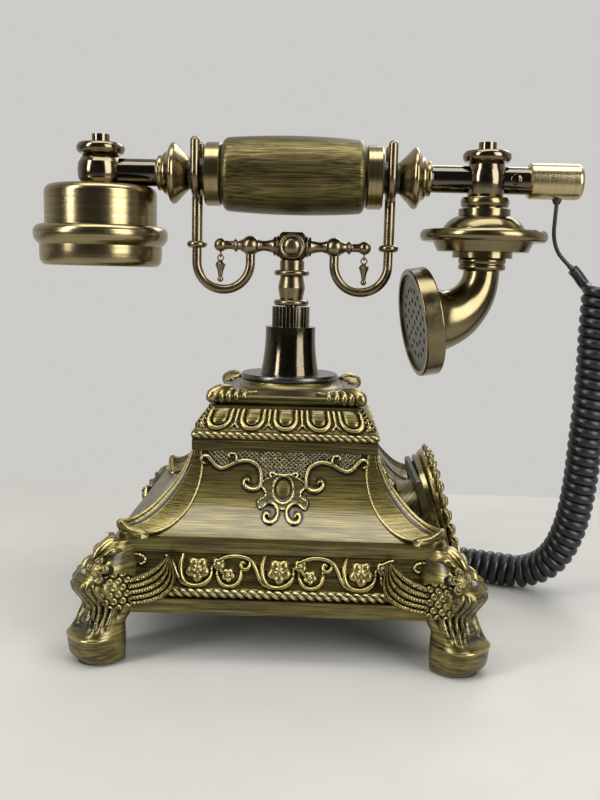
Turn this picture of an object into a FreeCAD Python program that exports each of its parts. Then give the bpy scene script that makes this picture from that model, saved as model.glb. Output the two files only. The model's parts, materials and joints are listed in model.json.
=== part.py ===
import FreeCAD, Part
import math
import os

import Sketcher

Vector = FreeCAD.Vector
Rotation = FreeCAD.Rotation
Placement = FreeCAD.Placement

# Driving dimensions: millimetres and degrees, with heights measured up from the table
DIMENSIONS = {
    # general clearances
    "seat_gap": 0.05,
    "running_gap": 0.05,
    "body_gap": 0.3,
    # feet and legs, measured along the plan diagonal, with runs to the front of the rounded nose
    "pad_height": 1.2,
    "pad_radius": 7.5,
    "leg_half_width": 11.5,
    "foot_back": 101.0,
    "leg_back": 92.0,
    "sole_run": 6.5,
    "toe_run": 10.0,
    "instep_run": 5.5,
    "waist_run": 2.5,
    "knee_run": 18.0,
    "hip_run": 12.0,
    "shoulder_run": 1.5,
    "toe_low": 4.0,
    "toe_high": 13.0,
    "instep_height": 18.5,
    "waist_height": 24.5,
    "knee_height": 36.5,
    "hip_height": 46.0,
    "shoulder_height": 51.5,
    "wing_tip": 48.0,
    "wing_heel": 55.0,
    "wing_root": 77.0,
    "wing_tip_height": 45.5,
    "wing_heel_height": 26.5,
    "wing_root_height": 40.0,
    "wing_outer": 81.0,
    # plinth
    "plinth_underside": 21.5,
    "lower_band_height": 6.5,
    "rope_height": 4.5,
    "frieze_height": 14.5,
    "ledge_height": 5.0,
    "plinth_half": 79.0,
    "rope_half": 76.0,
    "frieze_head_half": 71.5,
    "ledge_half": 73.0,
    "plinth_inner_half": 62.0,
    "plate_recess_half": 70.0,
    "bottom_plate_thickness": 2.5,
    "bottom_plate_inset": 0.5,
    "screw_radius": 1.5,
    "screw_head_radius": 2.9,
    "screw_head_height": 1.8,
    "screw_depth": 9.0,
    "leg_screw_bite": 10.0,
    # body
    "body_foot_half": 66.5,
    "body_head_half": 42.0,
    "body_height": 34.3,
    "body_wall": 3.5,
    "strap_width_low": 14.0,
    "strap_width_high": 6.0,
    "strap_thickness": 1.8,
    "strap_curl_reach": 1.0,
    "strap_curl_height": 9.0,
    # neck
    "neck_band_height": 4.9,
    "neck_rope_height": 3.9,
    "egg_height": 10.0,
    "neck_fillet_height": 1.4,
    "neck_torus_height": 4.6,
    "neck_top_height": 1.6,
    "neck_band_half": 42.8,
    "egg_foot_half": 42.0,
    "egg_head_half": 34.8,
    "neck_fillet_half": 36.0,
    "neck_torus_half": 33.0,
    "neck_top_half": 27.5,
    "neck_cavity_half": 27.0,
    "neck_roof": 6.0,
    "neck_cap_height": 2.6,
    "neck_cap_foot": 26.5,
    "neck_cap_head": 24.0,
    "leaf_along": 9.0,
    "leaf_across": 6.0,
    "leaf_thick": 4.2,
    "leaf_reach": 43.5,
    # post
    "flange_radius": 23.6,
    "flange_height": 3.1,
    "cone_foot_radius": 14.5,
    "cone_head_radius": 12.4,
    "cone_height": 23.1,
    "shank_radius": 8.0,
    "shank_length": 17.0,
    "spigot_radius": 7.4,
    "spigot_height": 7.0,
    "chamber_radius": 5.6,
    "chamber_floor": 4.0,
    "collar_radius": 9.3,
    "collar_height": 9.9,
    "collar_roof": 2.4,
    "knurl_depth": 0.5,
    "knurl_count": 32,
    "nut_radius": 12.5,
    "nut_height": 4.0,
    "plunger_radius": 3.0,
    "plunger_collar_radius": 5.2,
    "plunger_collar_height": 2.0,
    "spring_wire": 0.9,
    "spring_height": 17.0,
    "spring_turns": 8,
    "switch_half_long": 9.0,
    "switch_half_wide": 6.0,
    "switch_height": 8.0,
    "button_radius": 1.8,
    "button_height": 2.0,
    # cradle
    "stem_lift": 0.5,
    "bead_radius": 7.7,
    "bead_height": 2.8,
    "baluster_neck": 5.6,
    "baluster_radius": 6.7,
    "baluster_height": 11.7,
    "stem_neck_height": 4.6,
    "stem_neck_radius": 6.0,
    "head_half": 6.2,
    "head_height": 13.7,
    "head_edge": 1.4,
    "rosette_radius": 6.0,
    "rosette_height": 1.2,
    "rosette_dome_radius": 4.3,
    "rosette_dome_height": 2.2,
    "bar_radius": 1.7,
    "bar_collar_radius": 4.6,
    "bar_collar_length": 3.0,
    "bar_ball_radius": 4.8,
    "bar_ring_radius": 2.9,
    "bar_ring_length": 1.4,
    "bar_ring_along": 27.0,
    "bar_end_along": 35.3,
    "bar_end_radius": 3.3,
    "hook_along": 33.8,
    "hook_radius": 13.2,
    "hook_bend_height": 172.2,
    "hook_rod_radius": 2.3,
    "hook_top_radius": 2.6,
    "hook_bead_radius": 4.9,
    "hook_bead_half": 1.7,
    "fork_radius": 10.2,
    "prong_radius": 2.3,
    "prong_length": 14.1,
    "ring_radius": 1.4,
    "ring_wire": 0.4,
    "ring_drop": 4.4,
    "pendant_length": 9.0,
    "pendant_radius": 2.6,
    "pendant_ball_radius": 1.5,
    # handset, along X
    "handset_height": 214.5,
    "grip_half": 34.4,
    "grip_radius": 17.6,
    "grip_belly": 18.9,
    "grip_edge": 3.5,
    "ring_gap": 0.5,
    "ferrule_length": 8.0,
    "ferrule_radius": 15.2,
    "rod_radius": 5.0,
    "groove_radius": 7.5,
    "groove_length": 8.0,
    "flange_peak_radius": 14.3,
    "flange_rise": 5.2,
    "flange_fall": 3.6,
    "flange_step_radius": 9.3,
    "flange_step_length": 4.2,
    "arm_radius": 6.5,
    "arm_bore": 3.5,
    # earpiece
    "ear_along": 94.4,
    "knuckle_high": 8.4,
    "knuckle_low": 6.8,
    "knuckle_radius": 10.7,
    "knuckle_neck": 8.2,
    "finial_radius": 10.4,
    "finial_height": 5.0,
    "finial_nut_radius": 4.3,
    "finial_nut_height": 4.2,
    "ear_cup_radius": 27.2,
    "ear_cup_height": 19.0,
    "ear_cup_edge": 4.0,
    "cup_wall": 2.2,
    "ear_ring_radius": 32.6,
    "ear_ring_height": 10.6,
    "ear_lip_radius": 29.0,
    "ear_lip_end_radius": 26.5,
    "ear_lip_height": 9.2,
    "ear_dish_depth": 3.0,
    "capsule_radius": 22.0,
    "capsule_height": 11.0,
    # mouthpiece
    "mic_along": 92.9,
    "mic_knuckle_low": 8.4,
    "mic_knuckle_radius": 9.5,
    "mic_ring_radius": 11.0,
    "mic_ring_height": 4.6,
    "mic_gap_height": 0.9,
    "mic_gap_radius": 8.8,
    "mic_band_radius": 12.5,
    "mic_band_height": 3.2,
    "dome_radius": 20.0,
    "dome_height": 7.0,
    "disc_radius": 30.7,
    "disc_height": 5.4,
    "disc_step_radius": 24.3,
    "disc_step_height": 4.8,
    "disc_collar_radius": 14.5,
    "disc_collar_height": 3.0,
    "horn_collar_radius": 11.0,
    "horn_collar_height": 6.4,
    "horn_throat_radius": 8.7,
    "horn_bend_radius": 24.0,
    "horn_run": 4.6,
    "horn_tilt": 9.0,
    "horn_swing": 9.0,
    "horn_mouth_radius": 18.0,
    "horn_wall": 1.8,
    "rim_radius": 26.4,
    "rim_thickness": 9.0,
    "rim_edge": 0.8,
    "rim_lip": 1.8,
    "grille_thickness": 1.6,
    "grille_hole_radius": 1.3,
    "grille_pitch": 5.4,
    # tail
    "tail_start": 113.1,
    "tail_end": 138.8,
    "tail_radius": 8.5,
    "tail_edge": 2.6,
    "tail_wall": 2.0,
    "grommet_radius": 2.4,
    "grommet_height": 2.2,
    # dial, turned about the axis square to its sloping platform
    "dial_slope": 16.0,
    "dial_proud": 4.9,
    "dial_height": 49.5,
    "platform_half": 30.0,
    "platform_top": 76.5,
    "well_radius": 18.0,
    "well_depth": 20.0,
    "bezel_radius": 29.5,
    "bezel_height": 4.5,
    "bezel_flat": 2.8,
    "bezel_lip": 1.0,
    "plate_radius": 24.0,
    "plate_thickness": 1.0,
    "can_wall": 1.0,
    "can_depth": 12.0,
    "can_floor": 2.0,
    "spindle_radius": 2.5,
    "spindle_nose_radius": 2.0,
    "wheel_radius": 25.0,
    "wheel_thickness": 2.0,
    "wheel_height": 5.2,
    "wheel_hub_radius": 5.0,
    "wheel_hub_depth": 2.2,
    "finger_hole_radius": 4.4,
    "finger_hole_reach": 19.4,
    "cap_radius": 10.0,
    "cap_height": 2.6,
    "stop_width": 4.0,
    "stop_clearance": 0.8,
    "stop_thickness": 1.2,
    "stop_inner_reach": 16.0,
    "gear_module": 0.6,
    "gear_teeth": 32,
    "pinion_teeth": 12,
    "gear_thickness": 2.0,
    "gear_backlash": 0.16,
    "governor_shaft_radius": 1.0,
    "governor_disc_radius": 2.6,
    "governor_disc_thickness": 1.6,
    # fittings inside
    "board_half_long": 30.0,
    "board_half_wide": 22.0,
    "board_thickness": 1.6,
    "standoff_radius": 3.0,
    "standoff_height": 8.0,
    "board_back": 18.0,
    "ringer_radius": 13.0,
    "ringer_height": 9.0,
    "ringer_along": 24.0,
    "ringer_across": 40.0,
    "jack_half": 7.5,
    "jack_height": 14.0,
    "plug_half_wide": 3.8,
    "plug_half_thick": 3.3,
    "plug_insert": 9.0,
    "plug_drop": 7.0,
    "jack_along": 52.0,
    "jack_across": 44.2,
    "line_half_wide": 5.2,
    "line_half_tall": 3.8,
    "line_depth": 11.0,
    "line_height": 34.0,
    "line_wall": 2.5,
    # cords
    "lead_diameter": 2.0,
    "curl_wire": 3.5,
    "curl_radius": 5.2,
    "curl_pitch": 5.0,
}

# Coil centre line, from the handset down to the table and in under the plinth
CURL_ROUTE = [
    (151.5, 0.5, 164.5),
    (151.0, 1.0, 146.0),
    (151.8, 2.5, 119.0),
    (151.2, 6.0, 88.0),
    (150.8, 10.0, 60.0),
    (148.5, 15.5, 36.0),
    (141.5, 21.5, 17.5),
    (128.5, 29.5, 8.8),
    (113.0, 36.5, 7.5),
    (97.0, 42.5, 7.3),
    (81.5, 46.9, 7.4),
    (66.5, 49.0, 7.3),
    (52.0, 49.4, 7.4),
]
# Thin lead from the tail cap to the top of the coil
LEAD_ROUTE = [
    (127.3, 0.3, 197.5),
    (127.2, 1.4, 189.0),
    (129.8, 3.2, 181.5),
    (134.2, 4.3, 176.8),
    (138.6, 5.0, 172.9),
]
LEAD_EXIT_ALONG = 127.5

doc = FreeCAD.newDocument("RotaryTelephone")
sheet = doc.addObject("Spreadsheet::Sheet", "Sizes")
for row, (alias, value) in enumerate(DIMENSIONS.items(), start=1):
    sheet.set(f"A{row}", alias)
    sheet.set(f"B{row}", str(value))
    sheet.setAlias(f"B{row}", alias)
doc.recompute()


class Size:
    """A number that remembers the sheet expression it came from."""

    def __init__(self, value, text):
        self.value = value
        self.text = text

    def __float__(self):
        return float(self.value)

    def __add__(self, other):
        return Size(self.value + float(other), f"({self.text} + {text_of(other)})")

    def __radd__(self, other):
        return Size(float(other) + self.value, f"({text_of(other)} + {self.text})")

    def __sub__(self, other):
        return Size(self.value - float(other), f"({self.text} - {text_of(other)})")

    def __rsub__(self, other):
        return Size(float(other) - self.value, f"({text_of(other)} - {self.text})")

    def __mul__(self, other):
        return Size(self.value * float(other), f"({self.text} * {text_of(other)})")

    __rmul__ = __mul__

    def __truediv__(self, other):
        return Size(self.value / float(other), f"({self.text} / {text_of(other)})")

    def __neg__(self):
        return Size(-self.value, f"(-{self.text})")


class Sizes:
    """Every sheet cell as a Size, by its alias."""

    def __getattr__(self, alias):
        return Size(float(sheet.get(alias)), f"Sizes.{alias}")


def text_of(value):
    return value.text if isinstance(value, Size) else repr(float(value))


def cosine(angle):
    return Size(math.cos(math.radians(float(angle))), f"cos({text_of(angle)})")


def sine(angle):
    return Size(math.sin(math.radians(float(angle))), f"sin({text_of(angle)})")


def tangent(angle):
    return Size(math.tan(math.radians(float(angle))), f"tan({text_of(angle)})")


def bind(item, path, value):
    if isinstance(value, Size):
        item.setExpression(path, value.text)


s = Sizes()
UPRIGHT = Rotation()
ALONG_X = Rotation(Vector(0, 1, 0), 90)
ALONG_MINUS_X = Rotation(Vector(0, 1, 0), -90)
ALONG_Y = Rotation(Vector(1, 0, 0), -90)
ALONG_MINUS_Y = Rotation(Vector(1, 0, 0), 90)
FACING_FRONT = Rotation(Vector(1, 0, 0), 90)
FACING_SIDE = Rotation(Vector(0, 0, 1), 90) * FACING_FRONT


def place(item, position=(0, 0, 0), rotation=UPRIGHT):
    item.Placement = Placement(Vector(*[float(value) for value in position]), rotation)
    for axis, value in zip("xyz", position):
        bind(item, f"Placement.Base.{axis}", value)
    return item


def arc_between(start, end, bulge):
    """Arc whose bulge is the tangent of a quarter of its sweep, positive when anticlockwise."""
    chord = end - start
    left = Vector(-chord.y, chord.x, 0)
    centre = start + chord * 0.5 + left * ((1 - bulge * bulge) / (4 * bulge))
    circle = Part.Circle(centre, Vector(0, 0, 1), (start - centre).Length)
    first = math.atan2(start.y - centre.y, start.x - centre.x)
    last = math.atan2(end.y - centre.y, end.x - centre.x)
    if bulge < 0:
        first, last = last, first
    if last <= first:
        last += 2 * math.pi
    return Part.ArcOfCircle(circle, first, last)


def pin_coordinate(sketch, edge, spot, direction, axis, value):
    number = float(value)
    if abs(number) < 1e-9:
        sketch.addConstraint(Sketcher.Constraint("PointOnObject", edge, spot, axis))
        return
    if number > 0:
        index = sketch.addConstraint(Sketcher.Constraint(direction, -1, 1, edge, spot, number))
        bind(sketch, f"Constraints[{index}]", value)
    else:
        index = sketch.addConstraint(Sketcher.Constraint(direction, edge, spot, -1, 1, -number))
        bind(sketch, f"Constraints[{index}]", -value)


def draw_outline(sketch, points):
    """Closed outline; a third value on a point bulges the edge that leaves it."""
    spots = [Vector(float(point[0]), float(point[1]), 0) for point in points]
    starts = []
    for index, point in enumerate(points):
        following = spots[(index + 1) % len(spots)]
        bulge = point[2] if len(point) > 2 else 0
        if bulge:
            sketch.addGeometry(arc_between(spots[index], following, bulge))
        else:
            sketch.addGeometry(Part.LineSegment(spots[index], following))
        starts.append(2 if bulge < 0 else 1)
    for index in range(len(points)):
        following = (index + 1) % len(points)
        end = 3 - starts[index]
        joint = Sketcher.Constraint("Coincident", index, end, following, starts[following])
        sketch.addConstraint(joint)
    for index, point in enumerate(points):
        pin_coordinate(sketch, index, starts[index], "DistanceX", -2, point[0])
        pin_coordinate(sketch, index, starts[index], "DistanceY", -1, point[1])


def free_sketch(name, points, position=(0, 0, 0), rotation=UPRIGHT):
    sketch = doc.addObject("Sketcher::SketchObject", name)
    draw_outline(sketch, points)
    return place(sketch, position, rotation)


def turned(name, outline, position=(0, 0, 0), rotation=UPRIGHT):
    """Body of revolution about its own upright axis; the outline is (radius, height)."""
    body = doc.addObject("PartDesign::Body", name)
    sketch = body.newObject("Sketcher::SketchObject", f"{name}_outline")
    front = [item for item in body.Origin.OriginFeatures if item.Role == "XZ_Plane"][0]
    sketch.AttachmentSupport = [(front, "")]
    sketch.MapMode = "FlatFace"
    draw_outline(sketch, outline)
    turn = body.newObject("PartDesign::Revolution", f"{name}_turn")
    turn.Profile = sketch
    turn.ReferenceAxis = (sketch, ["V_Axis"])
    turn.Angle = 360
    return place(body, position, rotation)


def extruded(name, points, direction, length, position=(0, 0, 0), rotation=UPRIGHT):
    """Outline carried half its length each way along a direction."""
    extrusion = doc.addObject("Part::Extrusion", name)
    extrusion.Base = free_sketch(f"{name}_outline", points, position, rotation)
    extrusion.DirMode = "Custom"
    extrusion.Dir = direction
    extrusion.LengthFwd = float(length)
    bind(extrusion, "LengthFwd", length)
    extrusion.Symmetric = True
    extrusion.Solid = True
    return extrusion


def square_moulding(name, side):
    """Mitred square block whose four sides follow one profile of (half width, height)."""
    widest = max(side, key=lambda point: float(point[0]))[0]
    mirrored = []
    for index in range(len(side) - 1, -1, -1):
        bulge = side[index - 1][2] if index and len(side[index - 1]) > 2 else 0
        mirrored.append((-side[index][0], side[index][1], bulge))
    outline = list(side) + mirrored
    across = extruded(f"{name}_across", outline, Vector(0, 1, 0), widest * 2, rotation=FACING_FRONT)
    along = extruded(f"{name}_along", outline, Vector(1, 0, 0), widest * 2, rotation=FACING_SIDE)
    block = doc.addObject("Part::Common", name)
    block.Base = across
    block.Tool = along
    return block


def block(name, low, size, rotation=UPRIGHT):
    box = doc.addObject("Part::Box", name)
    for side, value in zip(("Length", "Width", "Height"), size):
        setattr(box, side, float(value))
        bind(box, side, value)
    return place(box, low, rotation)


def rod(name, radius, length, position, rotation=UPRIGHT):
    cylinder = doc.addObject("Part::Cylinder", name)
    cylinder.Radius = float(radius)
    cylinder.Height = float(length)
    bind(cylinder, "Radius", radius)
    bind(cylinder, "Height", length)
    return place(cylinder, position, rotation)


def ball(name, radius, position):
    sphere = doc.addObject("Part::Sphere", name)
    sphere.Radius = float(radius)
    bind(sphere, "Radius", radius)
    return place(sphere, position)


def hoop(name, radius, wire, position, rotation, sweep=360):
    torus = doc.addObject("Part::Torus", name)
    torus.Radius1 = float(radius)
    torus.Radius2 = float(wire)
    torus.Angle3 = sweep
    bind(torus, "Radius1", radius)
    bind(torus, "Radius2", wire)
    return place(torus, position, rotation)


def cut(name, base, *tools):
    for index, tool in enumerate(tools, start=1):
        result = doc.addObject("Part::Cut", name if index == len(tools) else f"{name}_cut{index}")
        result.Base = base
        result.Tool = tool
        base = result
    return base


def fuse(name, *items):
    joined = doc.addObject("Part::MultiFuse", name)
    joined.Shapes = list(items)
    return joined


def group(name, *items):
    compound = doc.addObject("Part::Compound", name)
    compound.Links = list(items)
    return compound


def shaped(name, shape, placement=Placement()):
    feature = doc.addObject("Part::Feature", name)
    feature.Shape = shape
    feature.Placement = placement
    return feature


def quarter_turns(name, source, count=4):
    """Copies of a finished object, a quarter turn apart round the post."""
    doc.recompute()
    copies = []
    for turn in range(count):
        spin = Placement(Vector(), Rotation(Vector(0, 0, 1), 90 * turn))
        copies.append(shaped(f"{name}_{turn}", source.Shape.copy(), spin * source.Placement))
    return copies


pieces = {}


def keep(name, item):
    item.Label = name
    pieces[name] = item
    return item


# Heights up the base
band_top = s.plinth_underside + s.lower_band_height
rope_top = band_top + s.rope_height
frieze_top = rope_top + s.frieze_height
plinth_top = frieze_top + s.ledge_height
body_top = plinth_top + s.body_height
neck_rope_low = body_top + s.neck_band_height
egg_low = neck_rope_low + s.neck_rope_height
egg_top = egg_low + s.egg_height
fillet_top = egg_top + s.neck_fillet_height
torus_top = fillet_top + s.neck_torus_height
neck_top = torus_top + s.neck_top_height
flange_low = neck_top + s.neck_cap_height
cone_low = flange_low + s.flange_height
collar_low = cone_low + s.cone_height
collar_top = collar_low + s.collar_height
diagonal = math.sqrt(0.5)

# Solid outer forms that other pieces are trimmed against
ROUND_ROPE = 0.75
BODY_HOLLOW = 0.2
plinth_solid = square_moulding("plinth_solid", [
    (s.plinth_half, s.plinth_underside),
    (s.plinth_half, band_top),
    (s.rope_half, band_top, ROUND_ROPE),
    (s.rope_half, rope_top),
    (s.frieze_head_half, frieze_top),
    (s.ledge_half, frieze_top),
    (s.ledge_half, plinth_top),
])
body_solid = square_moulding("body_solid", [
    (s.body_foot_half, plinth_top, -BODY_HOLLOW),
    (s.body_head_half, body_top),
])

# Dial platform: a sloping block let into the front of the plinth and body
dial_rotation = Rotation(Vector(0, 1, 0), 90 - float(s.dial_slope))
dial_along = s.body_foot_half + s.dial_proud
dial_centre = (dial_along, 0, s.dial_height)
dial_run = tangent(s.dial_slope)
platform_low_x = dial_along + (s.dial_height - s.plinth_underside) * dial_run
platform_high_x = dial_along + (s.dial_height - s.platform_top) * dial_run
platform_block = extruded("platform_block", [
    (s.plinth_inner_half, s.plinth_underside),
    (platform_low_x, s.plinth_underside),
    (platform_high_x, s.platform_top),
    (s.body_head_half, s.platform_top),
    (s.body_head_half, plinth_top),
    (s.plinth_inner_half, plinth_top),
], Vector(0, 1, 0), s.platform_half * 2, rotation=FACING_FRONT)
platform_reach = s.plinth_half + s.bezel_radius
platform_notch = block("platform_notch", (s.plinth_inner_half, -s.platform_half, s.plinth_underside),
                       (platform_reach, s.platform_half * 2, s.body_height + s.plinth_underside))
well_x = dial_along - s.well_depth * cosine(s.dial_slope)
well_z = s.dial_height - s.well_depth * sine(s.dial_slope)
dial_well = rod("dial_well", s.well_radius, s.well_depth * 2, (well_x, 0, well_z), dial_rotation)

# Plinth frame: square moulding, open inside, with a recess for the bottom plate
plinth_height = plinth_top - s.plinth_underside
inner_low = -s.plinth_inner_half
plinth_inside = block("plinth_inside", (inner_low, inner_low, s.plinth_underside),
                      (s.plinth_inner_half * 2, s.plinth_inner_half * 2, plinth_height))
plate_top = s.plinth_underside + s.bottom_plate_inset + s.bottom_plate_thickness
recess_low = -s.plate_recess_half
plate_recess = block("plate_recess", (recess_low, recess_low, s.plinth_underside),
                     (s.plate_recess_half * 2, s.plate_recess_half * 2,
                      s.bottom_plate_inset + s.bottom_plate_thickness))
keep("dial_platform", cut("dial_platform", platform_block, body_solid, dial_well, plate_recess))
boss_half = s.screw_head_radius + s.body_gap
leg_screw_height = rope_top + s.frieze_height / 2
leg_screw_start = s.plinth_inner_half * math.sqrt(2) - boss_half
leg_screw_length = s.rope_half * math.sqrt(2) - leg_screw_start + s.leg_screw_bite
DIAGONAL_OUT = Rotation(Vector(0, 0, 1), 45) * ALONG_X


def corner_hole(name, turn):
    """Screw hole outward along one plan diagonal."""
    spin = Rotation(Vector(0, 0, 1), 90 * turn)
    start = spin.multVec(Vector(diagonal, diagonal, 0))
    at = (leg_screw_start * start.x, leg_screw_start * start.y, leg_screw_height)
    return rod(name, s.screw_radius + s.seat_gap, leg_screw_length + s.seat_gap, at, spin * DIAGONAL_OUT)


def corner_boss(name, turn):
    """Flat seat for a leg screw's head, across one inside corner of the plinth."""
    spin = Rotation(Vector(0, 0, 1), 90 * turn + 45)
    corner = spin.multVec(Vector(float(leg_screw_start), -float(boss_half), 0))
    return block(name, (corner.x, corner.y, leg_screw_height - boss_half),
                 (boss_half * 2, boss_half * 2, boss_half * 2), spin)


corner_holes = [corner_hole(f"corner_hole_{turn}", turn) for turn in range(4)]
bottom_screw_at = (s.plinth_inner_half + s.plate_recess_half) / 2
plate_low = s.plinth_underside + s.bottom_plate_inset
screw_signs = [(1, 1), (-1, 1), (-1, -1), (1, -1)]
bottom_holes = [
    rod(f"bottom_hole_{index}", s.screw_radius + s.seat_gap, s.screw_depth + s.seat_gap,
        (bottom_screw_at * x, bottom_screw_at * y, plate_low))
    for index, (x, y) in enumerate(screw_signs)]

# Wall socket for the telephone line, in the back of the plinth
line_pocket = block("line_pocket", (-s.plinth_half, -s.jack_half, s.line_height - s.jack_half),
                    (s.plinth_half - s.plinth_inner_half, s.jack_half * 2, s.jack_half * 2))
plinth_hollow = cut("plinth_hollow", plinth_solid, plinth_inside, plate_recess)
corner_bosses = [corner_boss(f"corner_boss_{turn}", turn) for turn in range(4)]
plinth_cast = fuse("plinth_cast", plinth_hollow, *corner_bosses)
keep("plinth_frame", cut("plinth_frame", plinth_cast, platform_notch, dial_well, line_pocket,
                         *corner_holes, *bottom_holes))
line_front = s.rope_half - s.frieze_height / 3
line_half = s.jack_half - s.seat_gap
line_hole = block("line_hole", (-line_front, -s.line_half_wide, s.line_height - s.line_half_tall),
                  (s.line_depth, s.line_half_wide * 2, s.line_half_tall * 2))
line_block = block("line_block", (-line_front, -line_half, s.line_height - line_half),
                   (s.line_depth + s.line_wall, line_half * 2, line_half * 2))
keep("line_jack", cut("line_jack", line_block, line_hole))


# Legs: a diagonal scroll leg with a wing lying on each adjoining frieze
def leg_section(name, height, back, reach):
    return free_sketch(name, [
        (back, -s.leg_half_width),
        (reach - s.leg_half_width, -s.leg_half_width, 1),
        (reach - s.leg_half_width, s.leg_half_width),
        (back, s.leg_half_width),
    ], (0, 0, height), Rotation(Vector(0, 0, 1), 45))


def lofted(name, sections, ruled=False):
    loft = doc.addObject("Part::Loft", name)
    loft.Sections = sections
    loft.Solid = True
    loft.Ruled = ruled
    return loft


def eased(levels, steps):
    """Levels with rounded steps between each pair, so that the leg's outline curves."""
    finer = [levels[0]]
    for (low, start), (high, end) in zip(levels, levels[1:]):
        for step in range(1, steps + 1):
            share = step / steps
            ease = share * share * (3 - 2 * share)
            finer.append((low * (1 - share) + high * share, start * (1 - ease) + end * ease))
    return finer


LEG_STEPS = 3
foot_front = s.foot_back + s.leg_half_width
leg_front = s.leg_back + s.leg_half_width
instep_reach = foot_front + s.instep_run
waist_reach = foot_front + s.waist_run
foot_levels = [
    (s.pad_height, foot_front + s.sole_run),
    (s.toe_low, foot_front + s.toe_run),
    (s.toe_high, foot_front + s.toe_run),
    (s.instep_height, instep_reach),
    (s.waist_height, waist_reach),
]
knee_levels = [
    (s.plinth_underside, (instep_reach + waist_reach) / 2),
    (s.waist_height, waist_reach),
    (s.knee_height, leg_front + s.knee_run),
    (s.hip_height, leg_front + s.hip_run),
    (s.shoulder_height, leg_front + s.shoulder_run),
]
foot_loft = lofted("foot_loft", [
    leg_section(f"foot_section_{index}", height, s.foot_back, reach)
    for index, (height, reach) in enumerate(eased(foot_levels, LEG_STEPS))], ruled=True)
knee_loft = lofted("knee_loft", [
    leg_section(f"knee_section_{index}", height, s.leg_back, reach)
    for index, (height, reach) in enumerate(eased(knee_levels, LEG_STEPS))], ruled=True)
wing_outline = [
    (s.wing_tip, s.wing_tip_height, 0.2),
    (s.wing_root, s.wing_root_height),
    (s.wing_root, s.wing_heel_height),
    (s.wing_heel, s.wing_heel_height, -0.25),
]
wing_depth = s.wing_outer - s.frieze_head_half
wing_middle = (s.wing_outer + s.frieze_head_half) / 2
wing_side = extruded("wing_side", wing_outline, Vector(0, 1, 0), wing_depth,
                     (0, wing_middle, 0), FACING_FRONT)
wing_front = extruded("wing_front", wing_outline, Vector(1, 0, 0), wing_depth,
                      (wing_middle, 0, 0), FACING_SIDE)
leg_whole = fuse("leg_whole", foot_loft, knee_loft, wing_side, wing_front)
leg_trimmed = cut("leg_trimmed", leg_whole, plinth_solid, corner_holes[0])
leg_names = ["leg_front_right", "leg_back_right", "leg_back_left", "leg_front_left"]
for name, leg in zip(leg_names, quarter_turns("leg", leg_trimmed)):
    keep(name, leg)

# Foot pads and screws, each a group of alike pieces
pad_reach = (s.foot_back + foot_front + s.toe_run) / 2
keep("foot_pads", group("foot_pads", *[
    rod(f"foot_pad_{index}", s.pad_radius, s.pad_height,
        (pad_reach * diagonal * x, pad_reach * diagonal * y, 0))
    for index, (x, y) in enumerate(screw_signs)]))


def screw_outline(length):
    return [
        (0, -s.screw_head_height),
        (s.screw_head_radius, -s.screw_head_height),
        (s.screw_head_radius, 0),
        (s.screw_radius, 0),
        (s.screw_radius, length),
        (0, length),
    ]


screws = []
for index, (x, y) in enumerate(screw_signs):
    at = (bottom_screw_at * x, bottom_screw_at * y, plate_low)
    screws.append(turned(f"bottom_screw_{index}", screw_outline(s.screw_depth), at))
    spin = Rotation(Vector(0, 0, 1), 90 * index)
    leg_start = (leg_screw_start * diagonal * x, leg_screw_start * diagonal * y, leg_screw_height)
    screws.append(turned(f"leg_screw_{index}", screw_outline(leg_screw_length), leg_start,
                         spin * DIAGONAL_OUT))
keep("base_screws", group("base_screws", *screws))

# Bottom plate with the board's standoffs and the handset socket's opening
plate_half = s.plate_recess_half - s.body_gap
plate_sheet = block("plate_sheet", (-plate_half, -plate_half, plate_low),
                    (plate_half * 2, plate_half * 2, s.bottom_plate_thickness))
standoffs = [
    rod(f"standoff_{index}", s.standoff_radius, s.standoff_height,
        ((s.board_half_long - s.standoff_radius) * x - s.board_back,
         (s.board_half_wide - s.standoff_radius) * y, plate_top))
    for index, (x, y) in enumerate(screw_signs)]
jack_opening = block("jack_opening", (s.jack_along - s.jack_half, s.jack_across - s.jack_half, plate_low),
                     (s.jack_half * 2, s.jack_half * 2, s.bottom_plate_thickness))
keep("bottom_plate", cut("bottom_plate", fuse("plate_whole", plate_sheet, *standoffs), jack_opening,
                         *bottom_holes))
keep("main_board", block("main_board", (-s.board_half_long - s.board_back, -s.board_half_wide,
                                        plate_top + s.standoff_height),
                         (s.board_half_long * 2, s.board_half_wide * 2, s.board_thickness)))
keep("ringer", rod("ringer", s.ringer_radius, s.ringer_height,
                   (s.ringer_along, -s.ringer_across, plate_top)))

# Handset socket in the bottom plate, with the cord's plug in it
socket_half = s.jack_half - s.seat_gap
socket_block = block("socket_block", (s.jack_along - socket_half, s.jack_across - socket_half, plate_low),
                     (socket_half * 2, socket_half * 2, s.jack_height))
plug_low = plate_low - s.plug_drop


def plug_block(name, low, gap, height):
    wide = s.plug_half_wide + gap
    thick = s.plug_half_thick + gap
    return block(name, (s.jack_along - wide, s.jack_across - thick, low), (wide * 2, thick * 2, height))


socket_hole = plug_block("socket_hole", plate_low, s.seat_gap, s.plug_insert + s.seat_gap)
keep("handset_jack", cut("handset_jack", socket_block, socket_hole))
keep("cord_plug", plug_block("cord_plug", plug_low, 0, s.plug_drop + s.plug_insert))

# Body shell: concave pyramid with a flat roof that the neck stands on
shell_inside = square_moulding("shell_inside", [
    (s.body_foot_half - s.body_wall, plinth_top, -BODY_HOLLOW),
    (s.body_head_half - s.body_wall, body_top - s.body_wall),
])
keep("body_shell", cut("body_shell", body_solid, shell_inside, dial_well))


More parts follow.
